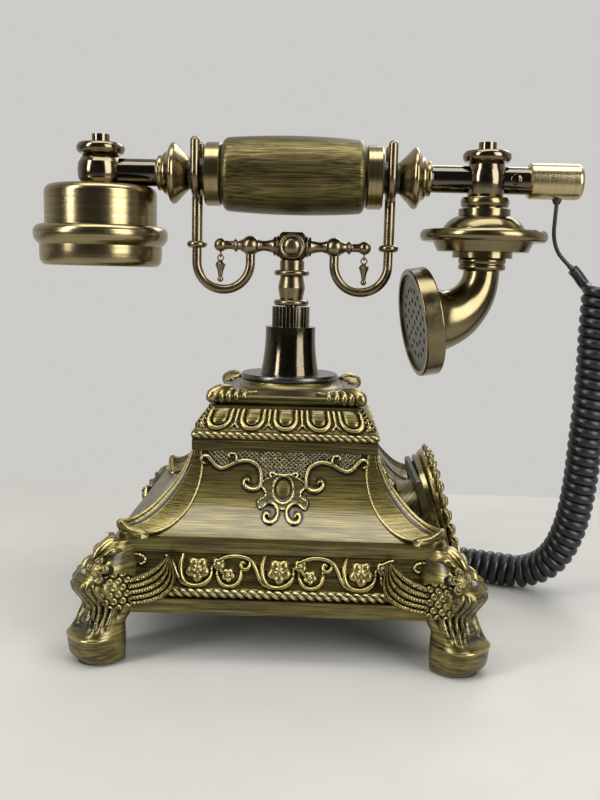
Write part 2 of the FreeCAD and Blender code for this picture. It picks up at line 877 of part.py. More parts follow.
# Corner straps: L-shaped bands down the body's corners, curling outward at the foot
strap_low = plinth_top + s.body_gap
strap_foot = s.body_foot_half + s.strap_curl_reach
strap_side = [
    (s.body_foot_half - s.strap_width_low, strap_low),
    (strap_foot, strap_low, 0.9),
    (strap_foot, strap_low + s.strap_curl_height),
    (strap_foot - s.strap_curl_reach, strap_low + s.strap_curl_height, -BODY_HOLLOW / 2),
    (s.body_head_half + s.strap_thickness, body_top),
    (s.body_head_half - s.strap_width_high, body_top, BODY_HOLLOW),
]
strap_span = s.body_foot_half * 2 + s.strap_curl_height * 2
strap_across = extruded("strap_across", strap_side, Vector(0, 1, 0), strap_span, rotation=FACING_FRONT)
strap_along = extruded("strap_along", strap_side, Vector(1, 0, 0), strap_span, rotation=FACING_SIDE)
strap_corner = doc.addObject("Part::Common", "strap_corner")
strap_corner.Base = strap_across
strap_corner.Tool = strap_along
strap_trimmed = cut("strap_trimmed", strap_corner, body_solid)
keep("corner_straps", group("corner_straps", *quarter_turns("strap", strap_trimmed)))

# Neck block: band, rope, sloping egg moulding, fillet and torus over a hollow
neck_solid = square_moulding("neck_solid", [
    (s.neck_band_half, body_top),
    (s.neck_band_half, neck_rope_low),
    (s.egg_foot_half, neck_rope_low, ROUND_ROPE),
    (s.egg_foot_half, egg_low),
    (s.egg_head_half, egg_top),
    (s.neck_fillet_half, egg_top),
    (s.neck_fillet_half, fillet_top),
    (s.neck_torus_half, fillet_top, ROUND_ROPE),
    (s.neck_torus_half, torus_top),
    (s.neck_top_half, neck_top),
])
cavity_height = neck_top - s.neck_roof - body_top
neck_cavity = block("neck_cavity", (-s.neck_cavity_half, -s.neck_cavity_half, body_top),
                    (s.neck_cavity_half * 2, s.neck_cavity_half * 2, cavity_height))
shank_hole = rod("shank_hole", s.shank_radius + s.seat_gap, collar_low - body_top, (0, 0, body_top))
keep("neck_block", cut("neck_block", neck_solid, neck_cavity, shank_hole))
neck_cap = turned("neck_cap", [
    (s.shank_radius + s.seat_gap, neck_top),
    (s.neck_cap_foot, neck_top, -0.2),
    (s.neck_cap_head, flange_low),
    (s.shank_radius + s.seat_gap, flange_low),
])
keep("neck_cap", neck_cap)
leaf = doc.addObject("Part::Ellipsoid", "leaf")
for radius, value in (("Radius1", s.leaf_thick), ("Radius2", s.leaf_along), ("Radius3", s.leaf_across)):
    setattr(leaf, radius, float(value))
    bind(leaf, radius, value)
place(leaf, (s.leaf_reach * diagonal, s.leaf_reach * diagonal, torus_top - s.leaf_thick / 2),
      Rotation(Vector(0, 0, 1), 45))
leaf_trimmed = cut("leaf_trimmed", leaf, neck_solid, neck_cap)
keep("neck_leaves", group("neck_leaves", *quarter_turns("leaf", leaf_trimmed)))

# Post: flange, cone with a threaded shank and spring chamber, knurled cap, nut
keep("post_flange", turned("post_flange", [
    (s.shank_radius + s.seat_gap, flange_low),
    (s.flange_radius, flange_low, 0.35),
    (s.flange_radius, cone_low),
    (s.shank_radius + s.seat_gap, cone_low),
]))
shank_low = cone_low - s.shank_length
chamber_low = shank_low + s.chamber_floor
spigot_top = collar_low + s.spigot_height
plunger_hole = s.plunger_radius + s.running_gap
keep("post_cone", turned("post_cone", [
    (plunger_hole, shank_low),
    (s.shank_radius, shank_low),
    (s.shank_radius, cone_low),
    (s.cone_foot_radius, cone_low, -0.06),
    (s.cone_head_radius, collar_low),
    (s.spigot_radius, collar_low),
    (s.spigot_radius, spigot_top),
    (s.chamber_radius, spigot_top),
    (s.chamber_radius, chamber_low),
    (plunger_hole, chamber_low),
]))
collar_blank = turned("collar_blank", [
    (s.spigot_radius + s.seat_gap, collar_low),
    (s.collar_radius, collar_low),
    (s.collar_radius, collar_top),
    (plunger_hole, collar_top),
    (plunger_hole, collar_top - s.collar_roof),
    (s.spigot_radius + s.seat_gap, collar_top - s.collar_roof),
])
knurl_count = int(float(s.knurl_count))
knurl_pitch = 360 / knurl_count
knurls = []
for index in range(knurl_count):
    angle = knurl_pitch * index
    reach = s.collar_radius + s.knurl_depth * 0.4
    at = (reach * math.cos(math.radians(angle)), reach * math.sin(math.radians(angle)), collar_low)
    knurls.append(rod(f"knurl_{index}", s.knurl_depth, s.collar_height, at))
keep("knurled_collar", cut("knurled_collar", collar_blank, group("knurls", *knurls)))
roof_low = neck_top - s.neck_roof
nut_blank = doc.addObject("Part::Prism", "nut_blank")
nut_blank.Polygon = 6
nut_blank.Circumradius = float(s.nut_radius)
nut_blank.Height = float(s.nut_height)
bind(nut_blank, "Circumradius", s.nut_radius)
bind(nut_blank, "Height", s.nut_height)
place(nut_blank, (0, 0, roof_low - s.nut_height))
keep("post_nut", cut("post_nut", nut_blank, shank_hole))

# Hook switch on the body's roof, under the plunger
switch_case = block("switch_case", (-s.switch_half_long, -s.switch_half_wide, body_top),
                    (s.switch_half_long * 2, s.switch_half_wide * 2, s.switch_height))
switch_top = body_top + s.switch_height
switch_button = rod("switch_button", s.button_radius, s.button_height, (0, 0, switch_top))
keep("hook_switch", fuse("hook_switch", switch_case, switch_button))
plunger_low = switch_top + s.button_height + s.running_gap

# Cradle stem: plunger with its spring collar below, beads and baluster above
stem_low = collar_top + s.stem_lift
bead_top = stem_low + s.bead_height
baluster_top = bead_top + s.baluster_height
baluster_mid = bead_top + s.baluster_height / 2
upper_bead_top = baluster_top + s.bead_height
head_low = upper_bead_top + s.stem_neck_height
spring_top = chamber_low + s.spring_height
spring_collar_low = spring_top + s.running_gap
keep("cradle_stem", turned("cradle_stem", [
    (0, plunger_low),
    (s.plunger_radius, plunger_low),
    (s.plunger_radius, spring_collar_low),
    (s.plunger_collar_radius, spring_collar_low),
    (s.plunger_collar_radius, spring_collar_low + s.plunger_collar_height),
    (s.plunger_radius, spring_collar_low + s.plunger_collar_height),
    (s.plunger_radius, stem_low),
    (s.bead_radius, stem_low, 0.7),
    (s.bead_radius, bead_top),
    (s.baluster_neck, bead_top),
    (s.baluster_radius, baluster_mid),
    (s.baluster_neck, baluster_top),
    (s.bead_radius, baluster_top, 0.7),
    (s.bead_radius, upper_bead_top),
    (s.stem_neck_radius, upper_bead_top),
    (s.stem_neck_radius, head_low),
    (0, head_low),
]))
bar_height = head_low + s.head_height / 2
head_top = head_low + s.head_height
head_block = square_moulding("head_block", [
    (s.head_half - s.head_edge, head_low),
    (s.head_half, head_low + s.head_edge),
    (s.head_half, head_top - s.head_edge),
    (s.head_half - s.head_edge, head_top),
])
bar_end = s.bar_end_along
bar_bore = rod("bar_bore", s.bar_radius + s.seat_gap, bar_end * 2, (-bar_end, 0, bar_height), ALONG_X)
keep("cradle_head", cut("cradle_head", head_block, bar_bore))
rosette = [
    (0, 0),
    (s.rosette_radius, 0),
    (s.rosette_radius, s.rosette_height),
    (s.rosette_dome_radius, s.rosette_height, 0.25),
    (s.rosette_dome_radius / 4, s.rosette_height + s.rosette_dome_height),
    (0, s.rosette_height + s.rosette_dome_height),
]
keep("head_rosettes", group(
    "head_rosettes",
    turned("rosette_near", rosette, (0, -s.head_half, bar_height), ALONG_MINUS_Y),
    turned("rosette_far", rosette, (0, s.head_half, bar_height), ALONG_Y)))

# Cross bar: rod with collars, balls, small rings, end balls and hanging rings
bar_items = [rod("bar_rod", s.bar_radius, bar_end * 2, (-bar_end, 0, bar_height), ALONG_X)]
ball_along = s.hook_along - s.hook_radius
ring_height = bar_height - s.ring_drop
for name, sign, outward in (("left", -1, ALONG_MINUS_X), ("right", 1, ALONG_X)):
    bar_items.append(rod(f"bar_collar_{name}", s.bar_collar_radius, s.bar_collar_length,
                         (s.head_half * sign, 0, bar_height), outward))
    bar_items.append(ball(f"bar_ball_{name}", s.bar_ball_radius, (ball_along * sign, 0, bar_height)))
    bar_items.append(rod(f"bar_ring_{name}", s.bar_ring_radius, s.bar_ring_length,
                         (s.bar_ring_along * sign, 0, bar_height), outward))
    bar_items.append(ball(f"bar_end_{name}", s.bar_end_radius, (bar_end * sign, 0, bar_height)))
    bar_items.append(hoop(f"bar_hoop_{name}", s.ring_radius, s.ring_wire,
                          (bar_end * sign, 0, ring_height), ALONG_X))
cross_bar = fuse("cross_bar", *bar_items)
keep("cross_bar", cross_bar)

# Hooks: a bent rod from each ball round and up to a two-pronged fork
fork_height = s.handset_height - s.groove_radius - s.body_gap + s.fork_radius - s.prong_radius
fork_low = fork_height - s.fork_radius
prong_end = fork_height + s.prong_length
LOWER_HALF_ACROSS = Rotation(Vector(0, 0, 1), 90) * ALONG_Y


def hook(name, sign):
    outer = (s.hook_along + s.hook_radius) * sign
    inner = ball_along * sign
    items = [
        hoop(f"{name}_bend", s.hook_radius, s.hook_rod_radius,
             (s.hook_along * sign, 0, s.hook_bend_height), ALONG_Y, 180),
        rod(f"{name}_stub", s.hook_rod_radius, bar_height - s.hook_bend_height,
            (inner, 0, s.hook_bend_height)),
        rod(f"{name}_rod", s.hook_rod_radius, bar_height - s.hook_bend_height,
            (outer, 0, s.hook_bend_height)),
        rod(f"{name}_top", s.hook_top_radius, fork_low - bar_height, (outer, 0, bar_height)),
        hoop(f"{name}_bead", s.hook_bead_radius - s.hook_bead_half, s.hook_bead_half,
             (outer, 0, bar_height), UPRIGHT),
        hoop(f"{name}_yoke", s.fork_radius, s.prong_radius, (outer, 0, fork_height),
             LOWER_HALF_ACROSS, 180),
    ]
    for side, across in (("near", -s.fork_radius), ("far", s.fork_radius)):
        items.append(rod(f"{name}_prong_{side}", s.prong_radius, s.prong_length,
                         (outer, across, fork_height)))
        items.append(ball(f"{name}_tip_{side}", s.prong_radius, (outer, across, prong_end)))
    return cut(name, fuse(f"{name}_whole", *items), cross_bar)


keep("hook_left", hook("hook_left", -1))
keep("hook_right", hook("hook_right", 1))

# Pendants: small drops linked through the bar's rings
pivot_height = ring_height - s.ring_radius
link_height = pivot_height - s.ring_radius / 3
drop_top = link_height - s.ring_radius
drop_ball = drop_top - s.pendant_length
for name, sign in (("pendant_left", -1), ("pendant_right", 1)):
    drop = turned(f"{name}_drop", [
        (0, drop_ball),
        (s.ring_wire * 2, drop_ball),
        (s.pendant_radius * 0.55, drop_top - s.pendant_length * 0.55),
        (s.pendant_radius, drop_top - s.pendant_length * 0.2, 0.2),
        (s.ring_wire, drop_top + s.ring_wire / 2),
        (0, drop_top + s.ring_wire / 2),
    ], (bar_end * sign, 0, 0))
    link = hoop(f"{name}_link", s.ring_radius, s.ring_wire, (bar_end * sign, 0, link_height), ALONG_Y)
    tip = ball(f"{name}_tip", s.pendant_ball_radius, (bar_end * sign, 0, drop_ball))
    keep(name, fuse(name, drop, link, tip))

# Handset middle: rod, grip barrel and ferrules, turned about X
hand = (0, 0, s.handset_height)
ferrule_in = s.grip_half + s.ring_gap
ferrule_out = ferrule_in + s.ferrule_length
groove_out = ferrule_out + s.groove_length
keep("grip_rod", turned("grip_rod", [
    (0, -groove_out),
    (s.groove_radius, -groove_out),
    (s.groove_radius, -ferrule_out),
    (s.rod_radius, -ferrule_out),
    (s.rod_radius, ferrule_out),
    (s.groove_radius, ferrule_out),
    (s.groove_radius, groove_out),
    (0, groove_out),
], hand, ALONG_X))
rod_hole = s.rod_radius + s.seat_gap
grip_rise = (DIMENSIONS["grip_belly"] - DIMENSIONS["grip_radius"]) / DIMENSIONS["grip_half"]
ROUND_EDGE = math.tan(math.radians(22.5))
keep("grip_barrel", turned("grip_barrel", [
    (rod_hole, -s.grip_half),
    (s.grip_radius - s.grip_edge, -s.grip_half, ROUND_EDGE),
    (s.grip_radius, -s.grip_half + s.grip_edge, grip_rise),
    (s.grip_radius, s.grip_half - s.grip_edge, ROUND_EDGE),
    (s.grip_radius - s.grip_edge, s.grip_half),
    (rod_hole, s.grip_half),
], hand, ALONG_X))
ferrule_bevel = s.ring_gap * 1.6
ferrule = [
    (rod_hole, ferrule_in),
    (s.ferrule_radius - ferrule_bevel, ferrule_in),
    (s.ferrule_radius, ferrule_in + ferrule_bevel),
    (s.ferrule_radius, ferrule_out - ferrule_bevel),
    (s.ferrule_radius - ferrule_bevel, ferrule_out),
    (rod_hole, ferrule_out),
]
keep("grip_ferrules", group(
    "grip_ferrules",
    turned("ferrule_left", ferrule, hand, ALONG_MINUS_X),
    turned("ferrule_right", ferrule, hand, ALONG_X)))

# Knuckles: the vase-shaped joints with a finial, turned about Z
knuckle_top = s.knuckle_high + s.finial_height


def knuckle_outline(low, belly):
    return [
        (0, -low),
        (s.knuckle_neck, -low),
        (belly, -low * 0.55, 0.12),
        (belly, s.knuckle_high * 0.5),
        (s.knuckle_neck, s.knuckle_high),
        (s.finial_radius, s.knuckle_high, 0.5),
        (s.finial_radius, knuckle_top),
        (s.finial_nut_radius, knuckle_top),
        (s.finial_nut_radius, knuckle_top + s.finial_nut_height),
        (0, knuckle_top + s.finial_nut_height),
    ]


ear_at = (-s.ear_along, 0, s.handset_height)
mic_at = (s.mic_along, 0, s.handset_height)
ear_knuckle = turned("ear_knuckle", knuckle_outline(s.knuckle_low, s.knuckle_radius), ear_at)
mic_knuckle = turned("mic_knuckle", knuckle_outline(s.mic_knuckle_low, s.mic_knuckle_radius), mic_at)
keep("ear_knuckle", ear_knuckle)
keep("mic_knuckle", mic_knuckle)

# Arms: flanged tubes from the grooves out to the knuckles
flange_peak = groove_out + s.flange_rise
flange_out = flange_peak + s.flange_fall
step_out = flange_out + s.flange_step_length


def arm(name, reach, rotation, end_piece):
    tube = turned(f"{name}_tube", [
        (s.arm_bore, groove_out),
        (s.flange_step_radius, groove_out),
        (s.flange_peak_radius, flange_peak - s.flange_fall / 4, 0.4),
        (s.flange_peak_radius, flange_peak + s.flange_fall / 4),
        (s.flange_step_radius, flange_out),
        (s.flange_step_radius, step_out),
        (s.arm_radius, step_out),
        (s.arm_radius, reach),
        (s.arm_bore, reach),
    ], hand, rotation)
    return keep(name, cut(name, tube, end_piece))


arm("arm_ear", s.ear_along, ALONG_MINUS_X, ear_knuckle)
arm("arm_mic", s.mic_along, ALONG_X, mic_knuckle)

# Earpiece: cup under the knuckle, screwed ring with a dished face, receiver capsule
cup_low = s.knuckle_low + s.ear_cup_height
cup_inner = s.ear_cup_radius - s.cup_wall
keep("ear_cup", turned("ear_cup", [
    (0, -s.knuckle_low),
    (s.ear_cup_radius - s.ear_cup_edge, -s.knuckle_low, -ROUND_EDGE),
    (s.ear_cup_radius, -s.knuckle_low - s.ear_cup_edge),
    (s.ear_cup_radius, -cup_low),
    (cup_inner, -cup_low),
    (cup_inner, -s.knuckle_low - s.ear_cup_edge),
    (cup_inner - s.cup_wall, -s.knuckle_low - s.cup_wall),
    (0, -s.knuckle_low - s.cup_wall),
], ear_at))
ear_ring_low = cup_low + s.ear_ring_height
ear_lip_low = ear_ring_low + s.ear_lip_height
dish_low = ear_lip_low - s.ear_dish_depth
capsule_seat = dish_low - s.cup_wall
ear_hole = s.capsule_radius + s.seat_gap
ear_ring_core = s.ear_ring_radius - s.ear_ring_height / 3
ear_cap = turned("ear_cap", [
    (ear_hole, -cup_low),
    (ear_ring_core, -cup_low, -0.667),
    (ear_ring_core, -ear_ring_low),
    (s.ear_lip_radius, -ear_ring_low),
    (s.ear_lip_end_radius, -ear_lip_low),
    (s.ear_lip_end_radius - s.ear_dish_depth, -ear_lip_low),
    (0, -dish_low),
    (0, -capsule_seat),
    (ear_hole, -capsule_seat),
], ear_at)
sound_holes = []
for ring, count in ((0, 1), (1, 6), (2, 12)):
    for index in range(count):
        angle = 2 * math.pi * index / count
        reach = s.grille_pitch * ring
        at = (-s.ear_along + reach * math.cos(angle), reach * math.sin(angle),
              s.handset_height - ear_lip_low)
        sound_holes.append(rod(f"ear_hole_{ring}_{index}", s.grille_hole_radius,
                               ear_lip_low - capsule_seat, at))
keep("ear_ring", cut("ear_ring", ear_cap, group("ear_holes", *sound_holes)))
keep("ear_capsule", rod("ear_capsule", s.capsule_radius, s.capsule_height,
                        (-s.ear_along, 0, s.handset_height - capsule_seat)))

# Mouthpiece: ringed dome and disc under the knuckle
mic_ring_low = s.mic_knuckle_low + s.mic_ring_height
mic_gap_low = mic_ring_low + s.mic_gap_height
mic_band_low = mic_gap_low + s.mic_band_height
dome_low = mic_band_low + s.dome_height
disc_low = dome_low + s.disc_height
disc_step_low = disc_low + s.disc_step_height
disc_collar_low = disc_step_low + s.disc_collar_height
horn_collar_low = disc_collar_low + s.horn_collar_height
disc_core = s.disc_radius - s.disc_height / 4
keep("mic_dome", turned("mic_dome", [
    (s.arm_bore, -s.mic_knuckle_low),
    (s.mic_ring_radius, -s.mic_knuckle_low, -0.3),
    (s.mic_ring_radius, -mic_ring_low),
    (s.mic_gap_radius, -mic_ring_low),
    (s.mic_gap_radius, -mic_gap_low),
    (s.mic_band_radius, -mic_gap_low),
    (s.mic_band_radius, -mic_band_low, -0.25),
    (s.dome_radius, -dome_low),
    (disc_core, -dome_low, -0.5),
    (disc_core, -disc_low),
    (s.disc_step_radius, -disc_low),
    (s.disc_step_radius - s.disc_step_height / 2, -disc_step_low),
    (s.disc_collar_radius, -disc_step_low),
    (s.disc_collar_radius, -disc_collar_low),
    (s.arm_bore, -disc_collar_low),
], mic_at))

# Horn: beaded collar, then an elbow that flares round to the mouth
horn_start = s.handset_height - horn_collar_low
horn_turn = 90 - DIMENSIONS["horn_tilt"]
HORN_SECTIONS = 6
HORN_FLARE = 1.6
horn_centre_x = s.mic_along - s.horn_bend_radius
mouth_x = (horn_centre_x + s.horn_bend_radius * sine(s.horn_tilt)
           - s.horn_run * cosine(s.horn_tilt))
mouth_z = (horn_start - s.horn_bend_radius * cosine(s.horn_tilt)
           - s.horn_run * sine(s.horn_tilt))
HORN_SWING = Rotation(Vector(0, 0, 1), float(s.horn_swing))


def swung(x, z):
    """A spot of the horn's own plane, swung with it about the mouthpiece's upright axis."""
    reach = s.mic_along - x
    return (s.mic_along - reach * cosine(s.horn_swing), -(reach * sine(s.horn_swing)), z)


def horn_loft(name, inset):
    rings = []
    for index in range(HORN_SECTIONS + 1):
        share = index / HORN_SECTIONS
        turn = horn_turn * min(share * HORN_SECTIONS / (HORN_SECTIONS - 1), 1)
        ring = doc.addObject("Part::Circle", f"{name}_{index}")
        flare = share ** HORN_FLARE
        radius = s.horn_throat_radius * (1 - flare) + s.horn_mouth_radius * flare - inset
        ring.Radius = float(radius)
        bind(ring, "Radius", radius)
        x = horn_centre_x + s.horn_bend_radius * math.cos(math.radians(turn))
        z = horn_start - s.horn_bend_radius * math.sin(math.radians(turn))
        if index == HORN_SECTIONS:
            x, z = mouth_x, mouth_z
        rings.append(place(ring, swung(x, z), HORN_SWING * Rotation(Vector(0, 1, 0), 180 + turn)))
    return lofted(name, rings)


horn_bead = s.horn_collar_height / 2
horn_collar = turned("horn_collar", [
    (s.horn_throat_radius - s.horn_wall, -horn_collar_low),
    (s.horn_throat_radius, -horn_collar_low),
    (s.horn_collar_radius, -horn_collar_low + horn_bead / 4, 0.4),
    (s.horn_collar_radius, -horn_collar_low + horn_bead),
    (s.horn_collar_radius, -horn_collar_low + horn_bead * 1.1, 0.4),
    (s.horn_collar_radius, -disc_collar_low),
    (s.horn_throat_radius - s.horn_wall, -disc_collar_low),
], mic_at)
horn_outside = horn_loft("horn_outside", 0)
horn_inside = horn_loft("horn_inside", s.horn_wall)
keep("mic_horn", fuse("mic_horn", horn_collar, cut("horn_elbow", horn_outside, horn_inside)))

# Mouth rim and perforated grille, turned about the mouth's own axis
mouth_rotation = HORN_SWING * Rotation(Vector(0, 1, 0), 180 + horn_turn)
mouth_at = swung(mouth_x, mouth_z)
rim_hole = s.horn_mouth_radius - s.horn_wall
rim_core = s.rim_radius - s.rim_edge
grille_radius = rim_core - s.rim_lip
grille_low = s.rim_thickness - s.grille_thickness * 1.8
keep("mic_rim", turned("mic_rim", [
    (rim_hole, 0),
    (rim_core, 0, ROUND_EDGE),
    (s.rim_radius, s.rim_edge),
    (s.rim_radius, s.rim_thickness - s.rim_edge, ROUND_EDGE),
    (rim_core, s.rim_thickness),
    (grille_radius + s.seat_gap, s.rim_thickness),
    (grille_radius + s.seat_gap, grille_low),
    (rim_hole, grille_low),
], mouth_at, mouth_rotation))
grille_disc = turned("grille_disc", [
    (0, grille_low),
    (grille_radius, grille_low),
    (grille_radius, grille_low + s.grille_thickness),
    (0, grille_low + s.grille_thickness),
], mouth_at, mouth_rotation)
grille_holes = []
mouth_frame = Placement(Vector(*[float(part) for part in mouth_at]), mouth_rotation)
for ring, count in ((0, 1), (1, 6), (2, 12), (3, 18)):
    for index in range(count):
        angle = 2 * math.pi * index / count
        reach = float(s.grille_pitch) * ring
        local = Vector(reach * math.cos(angle), reach * math.sin(angle), float(grille_low))
        spot = mouth_frame.multVec(local)
        grille_holes.append(rod(f"grille_hole_{ring}_{index}", s.grille_hole_radius, s.grille_thickness * 2,
                                (spot.x, spot.y, spot.z), mouth_rotation))
keep("mic_grille", cut("mic_grille", grille_disc, group("grille_holes", *grille_holes)))

# Tail: tube past the mouthpiece knuckle with a plain hollow cap, and the cord's gland
tail_bevel = s.tail_edge / 3
tail_turned = turned("tail_turned", [
    (s.arm_bore, s.mic_along),
    (s.arm_radius, s.mic_along),
    (s.arm_radius, s.tail_start),
    (s.tail_radius - tail_bevel, s.tail_start),
    (s.tail_radius, s.tail_start + tail_bevel),
    (s.tail_radius, s.tail_end - s.tail_edge, ROUND_EDGE),
    (s.tail_radius - s.tail_edge, s.tail_end),
    (0, s.tail_end),
    (0, s.tail_end - s.tail_wall),
    (s.tail_radius - s.tail_wall, s.tail_end - s.tail_wall),
    (s.tail_radius - s.tail_wall, s.tail_start + s.tail_wall),
    (s.arm_bore, s.tail_start + s.tail_wall),
], hand, ALONG_X)
keep("tail_cap", cut("tail_cap", tail_turned, mic_knuckle))
gland_low = s.handset_height - s.tail_radius - s.grommet_height
gland_blank = turned("gland_blank", [
    (0, gland_low),
    (s.lead_diameter * 0.75, gland_low),
    (s.grommet_radius, gland_low + s.grommet_height),
    (s.grommet_radius, gland_low + s.grommet_height + s.tail_wall / 2),
    (0, gland_low + s.grommet_height + s.tail_wall / 2),
], (LEAD_EXIT_ALONG, 0, 0))
keep("tail_grommet", cut("tail_grommet", gland_blank, tail_turned))


# Dial: frame can, number plate, bezel and finger stop on the sloping platform
def dial_turned(name, outline):
    return turned(name, outline, dial_centre, dial_rotation)


can_radius = s.well_radius - s.body_gap * 2
boss_radius = s.spindle_radius * 2
boss_top = -s.can_depth + s.can_floor * 4
spindle_hole = s.spindle_radius + s.running_gap
gear_step = s.gear_module * (s.gear_teeth + s.pinion_teeth) / 2
governor_at = (dial_along, gear_step, s.dial_height)
frame_blank = dial_turned("frame_blank", [
    (spindle_hole, -s.can_depth),
    (can_radius, -s.can_depth),
    (can_radius, 0),
    (s.plate_radius, 0),
    (s.plate_radius, s.plate_thickness),
    (can_radius - s.can_wall, s.plate_thickness),
    (can_radius - s.can_wall, -s.can_depth + s.can_floor),
    (boss_radius, -s.can_depth + s.can_floor),
    (boss_radius, boss_top),
    (spindle_hole, boss_top),
])
governor_bore = turned("governor_bore", [
    (0, -s.well_depth),
    (s.governor_shaft_radius + s.running_gap, -s.well_depth),
    (s.governor_shaft_radius + s.running_gap, 0),
    (0, 0),
], governor_at, dial_rotation)
keep("dial_frame", cut("dial_frame", frame_blank, governor_bore))
keep("number_plate", dial_turned("number_plate", [
    (boss_radius, s.plate_thickness),
    (s.plate_radius, s.plate_thickness),
    (s.plate_radius, s.plate_thickness * 2),
    (boss_radius, s.plate_thickness * 2),
]))
bezel_hole = s.plate_radius + s.seat_gap * 2
bezel_shoulder = bezel_hole + s.bezel_lip
keep("dial_bezel", dial_turned("dial_bezel", [
    (bezel_hole, 0),
    (s.bezel_radius, 0),
    (s.bezel_radius, s.bezel_height / 2, 0.3),
    (bezel_shoulder + s.bezel_flat, s.bezel_height),
    (bezel_shoulder, s.bezel_height),
    (bezel_hole, s.bezel_height * 0.75),
]))
wheel_top = s.wheel_height + s.wheel_thickness
stop_low = wheel_top + s.stop_clearance
STOP_CLOCK = 117.0
HOLE_CLOCK = 60.0
HOLE_STEP = 30.0
FINGER_HOLES = 10
dial_frame_at = Placement(Vector(*[float(value) for value in dial_centre]), dial_rotation)


def clock_turn(degrees):
    """Turn about the dial's axis, clockwise from the top as the dial is read."""
    return Rotation(Vector(0, 0, 1), 180 - degrees)


def dial_block(name, clock, low, size):
    """Box whose length runs outward at a clock angle on the dial."""
    at = dial_frame_at.multiply(Placement(Vector(), clock_turn(clock)))
    corner = at.multVec(Vector(*[float(value) for value in low]))
    return block(name, (corner.x, corner.y, corner.z), size, at.Rotation)


stop_foot = bezel_shoulder + s.bezel_flat - s.stop_thickness * 2
stop_outer = bezel_shoulder + s.bezel_flat
keep("finger_stop", fuse(
    "finger_stop",
    dial_block("stop_post", STOP_CLOCK, (stop_foot, -s.stop_width / 2, s.bezel_height),
               (stop_outer - stop_foot, s.stop_width, stop_low + s.stop_thickness - s.bezel_height)),
    dial_block("stop_arm", STOP_CLOCK, (s.stop_inner_reach, -s.stop_width / 2, stop_low),
               (stop_outer - s.stop_inner_reach, s.stop_width, s.stop_thickness))))

# Finger wheel with ten holes, its cap, and the spindle with the drive gear
nose_hole = s.spindle_nose_radius + s.seat_gap
wheel_blank = dial_turned("wheel_blank", [
    (nose_hole, s.wheel_height - s.wheel_hub_depth),
    (s.wheel_hub_radius, s.wheel_height - s.wheel_hub_depth),
    (s.wheel_hub_radius, s.wheel_height),
    (s.wheel_radius, s.wheel_height, 0.5),
    (s.wheel_radius, wheel_top),
    (nose_hole, wheel_top),
])
finger_holes = []
for index in range(FINGER_HOLES):
    turn = clock_turn(HOLE_CLOCK - HOLE_STEP * index)
    spot = dial_frame_at.multVec(turn.multVec(Vector(float(s.finger_hole_reach), 0, float(s.wheel_height))))
    finger_holes.append(rod(f"finger_hole_{index}", s.finger_hole_radius, s.wheel_thickness * 2,
                            (spot.x, spot.y, spot.z), dial_rotation))
keep("finger_wheel", cut("finger_wheel", wheel_blank, group("finger_holes", *finger_holes)))
keep("dial_cap", dial_turned("dial_cap", [
    (0, wheel_top),
    (s.cap_radius, wheel_top, 0.2),
    (s.cap_radius / 4, wheel_top + s.cap_height),
    (0, wheel_top + s.cap_height),
]))


def involute(angle):
    return math.tan(angle) - angle


def toothed_shape(teeth, low, phase):
    """Spur gear with involute flanks, thinned for backlash."""
    module = float(s.gear_module)
    pitch_radius = module * teeth / 2
    base_radius = pitch_radius * math.cos(math.radians(20))
    root = pitch_radius - 1.25 * module
    tip = pitch_radius + 0.9 * module
    half = math.pi / (2 * teeth) - float(s.gear_backlash) / (2 * pitch_radius)
    flank = [max(base_radius, root) + (tip - max(base_radius, root)) * step / 3 for step in range(4)]
    offsets = [half + involute(math.radians(20)) - involute(math.acos(min(base_radius / radius, 1)))
               for radius in flank]
    profile = [(root, offsets[0])] + list(zip(flank, offsets))
    points = []
    for tooth in range(teeth):
        middle = phase + 2 * math.pi * tooth / teeth
        rising = [(radius, middle - offset) for radius, offset in profile]
        falling = [(radius, middle + offset) for radius, offset in reversed(profile)]
        points += [Vector(radius * math.cos(turn), radius * math.sin(turn), low)
                   for radius, turn in rising + falling]
    face = Part.Face(Part.makePolygon(points + points[:1]))
    return face.extrude(Vector(0, 0, float(s.gear_thickness)))


gear_top = -s.can_depth - 1
gear_low = gear_top - s.gear_thickness
spindle_shaft = dial_turned("spindle_shaft", [
    (0, gear_low),
    (s.spindle_radius, gear_low),
    (s.spindle_radius, s.wheel_height - s.wheel_hub_depth),
    (s.spindle_nose_radius, s.wheel_height - s.wheel_hub_depth),
    (s.spindle_nose_radius, wheel_top),
    (0, wheel_top),
])
gear_count = int(float(s.gear_teeth))
pinion_count = int(float(s.pinion_teeth))
drive_teeth = shaped("drive_teeth", toothed_shape(gear_count, float(gear_low), math.pi / 2), dial_frame_at)
keep("dial_spindle", fuse("dial_spindle", spindle_shaft, drive_teeth))

# Governor: pinion, shaft and brake disc beside the spindle
disc_floor = -s.can_depth + s.can_floor + s.body_gap
governor_shaft = turned("governor_shaft", [
    (0, gear_low),
    (s.governor_shaft_radius, gear_low),
    (s.governor_shaft_radius, disc_floor),
    (s.governor_disc_radius, disc_floor),
    (s.governor_disc_radius, disc_floor + s.governor_disc_thickness),
    (0, disc_floor + s.governor_disc_thickness),
], governor_at, dial_rotation)
governor_frame = Placement(Vector(*[float(value) for value in governor_at]), dial_rotation)
pinion_phase = -math.pi / 2 + math.pi / pinion_count
pinion_shape = toothed_shape(pinion_count, float(gear_low), pinion_phase)
pinion_teeth = shaped("pinion_teeth", pinion_shape, governor_frame)
keep("governor", fuse("governor", governor_shaft, pinion_teeth))


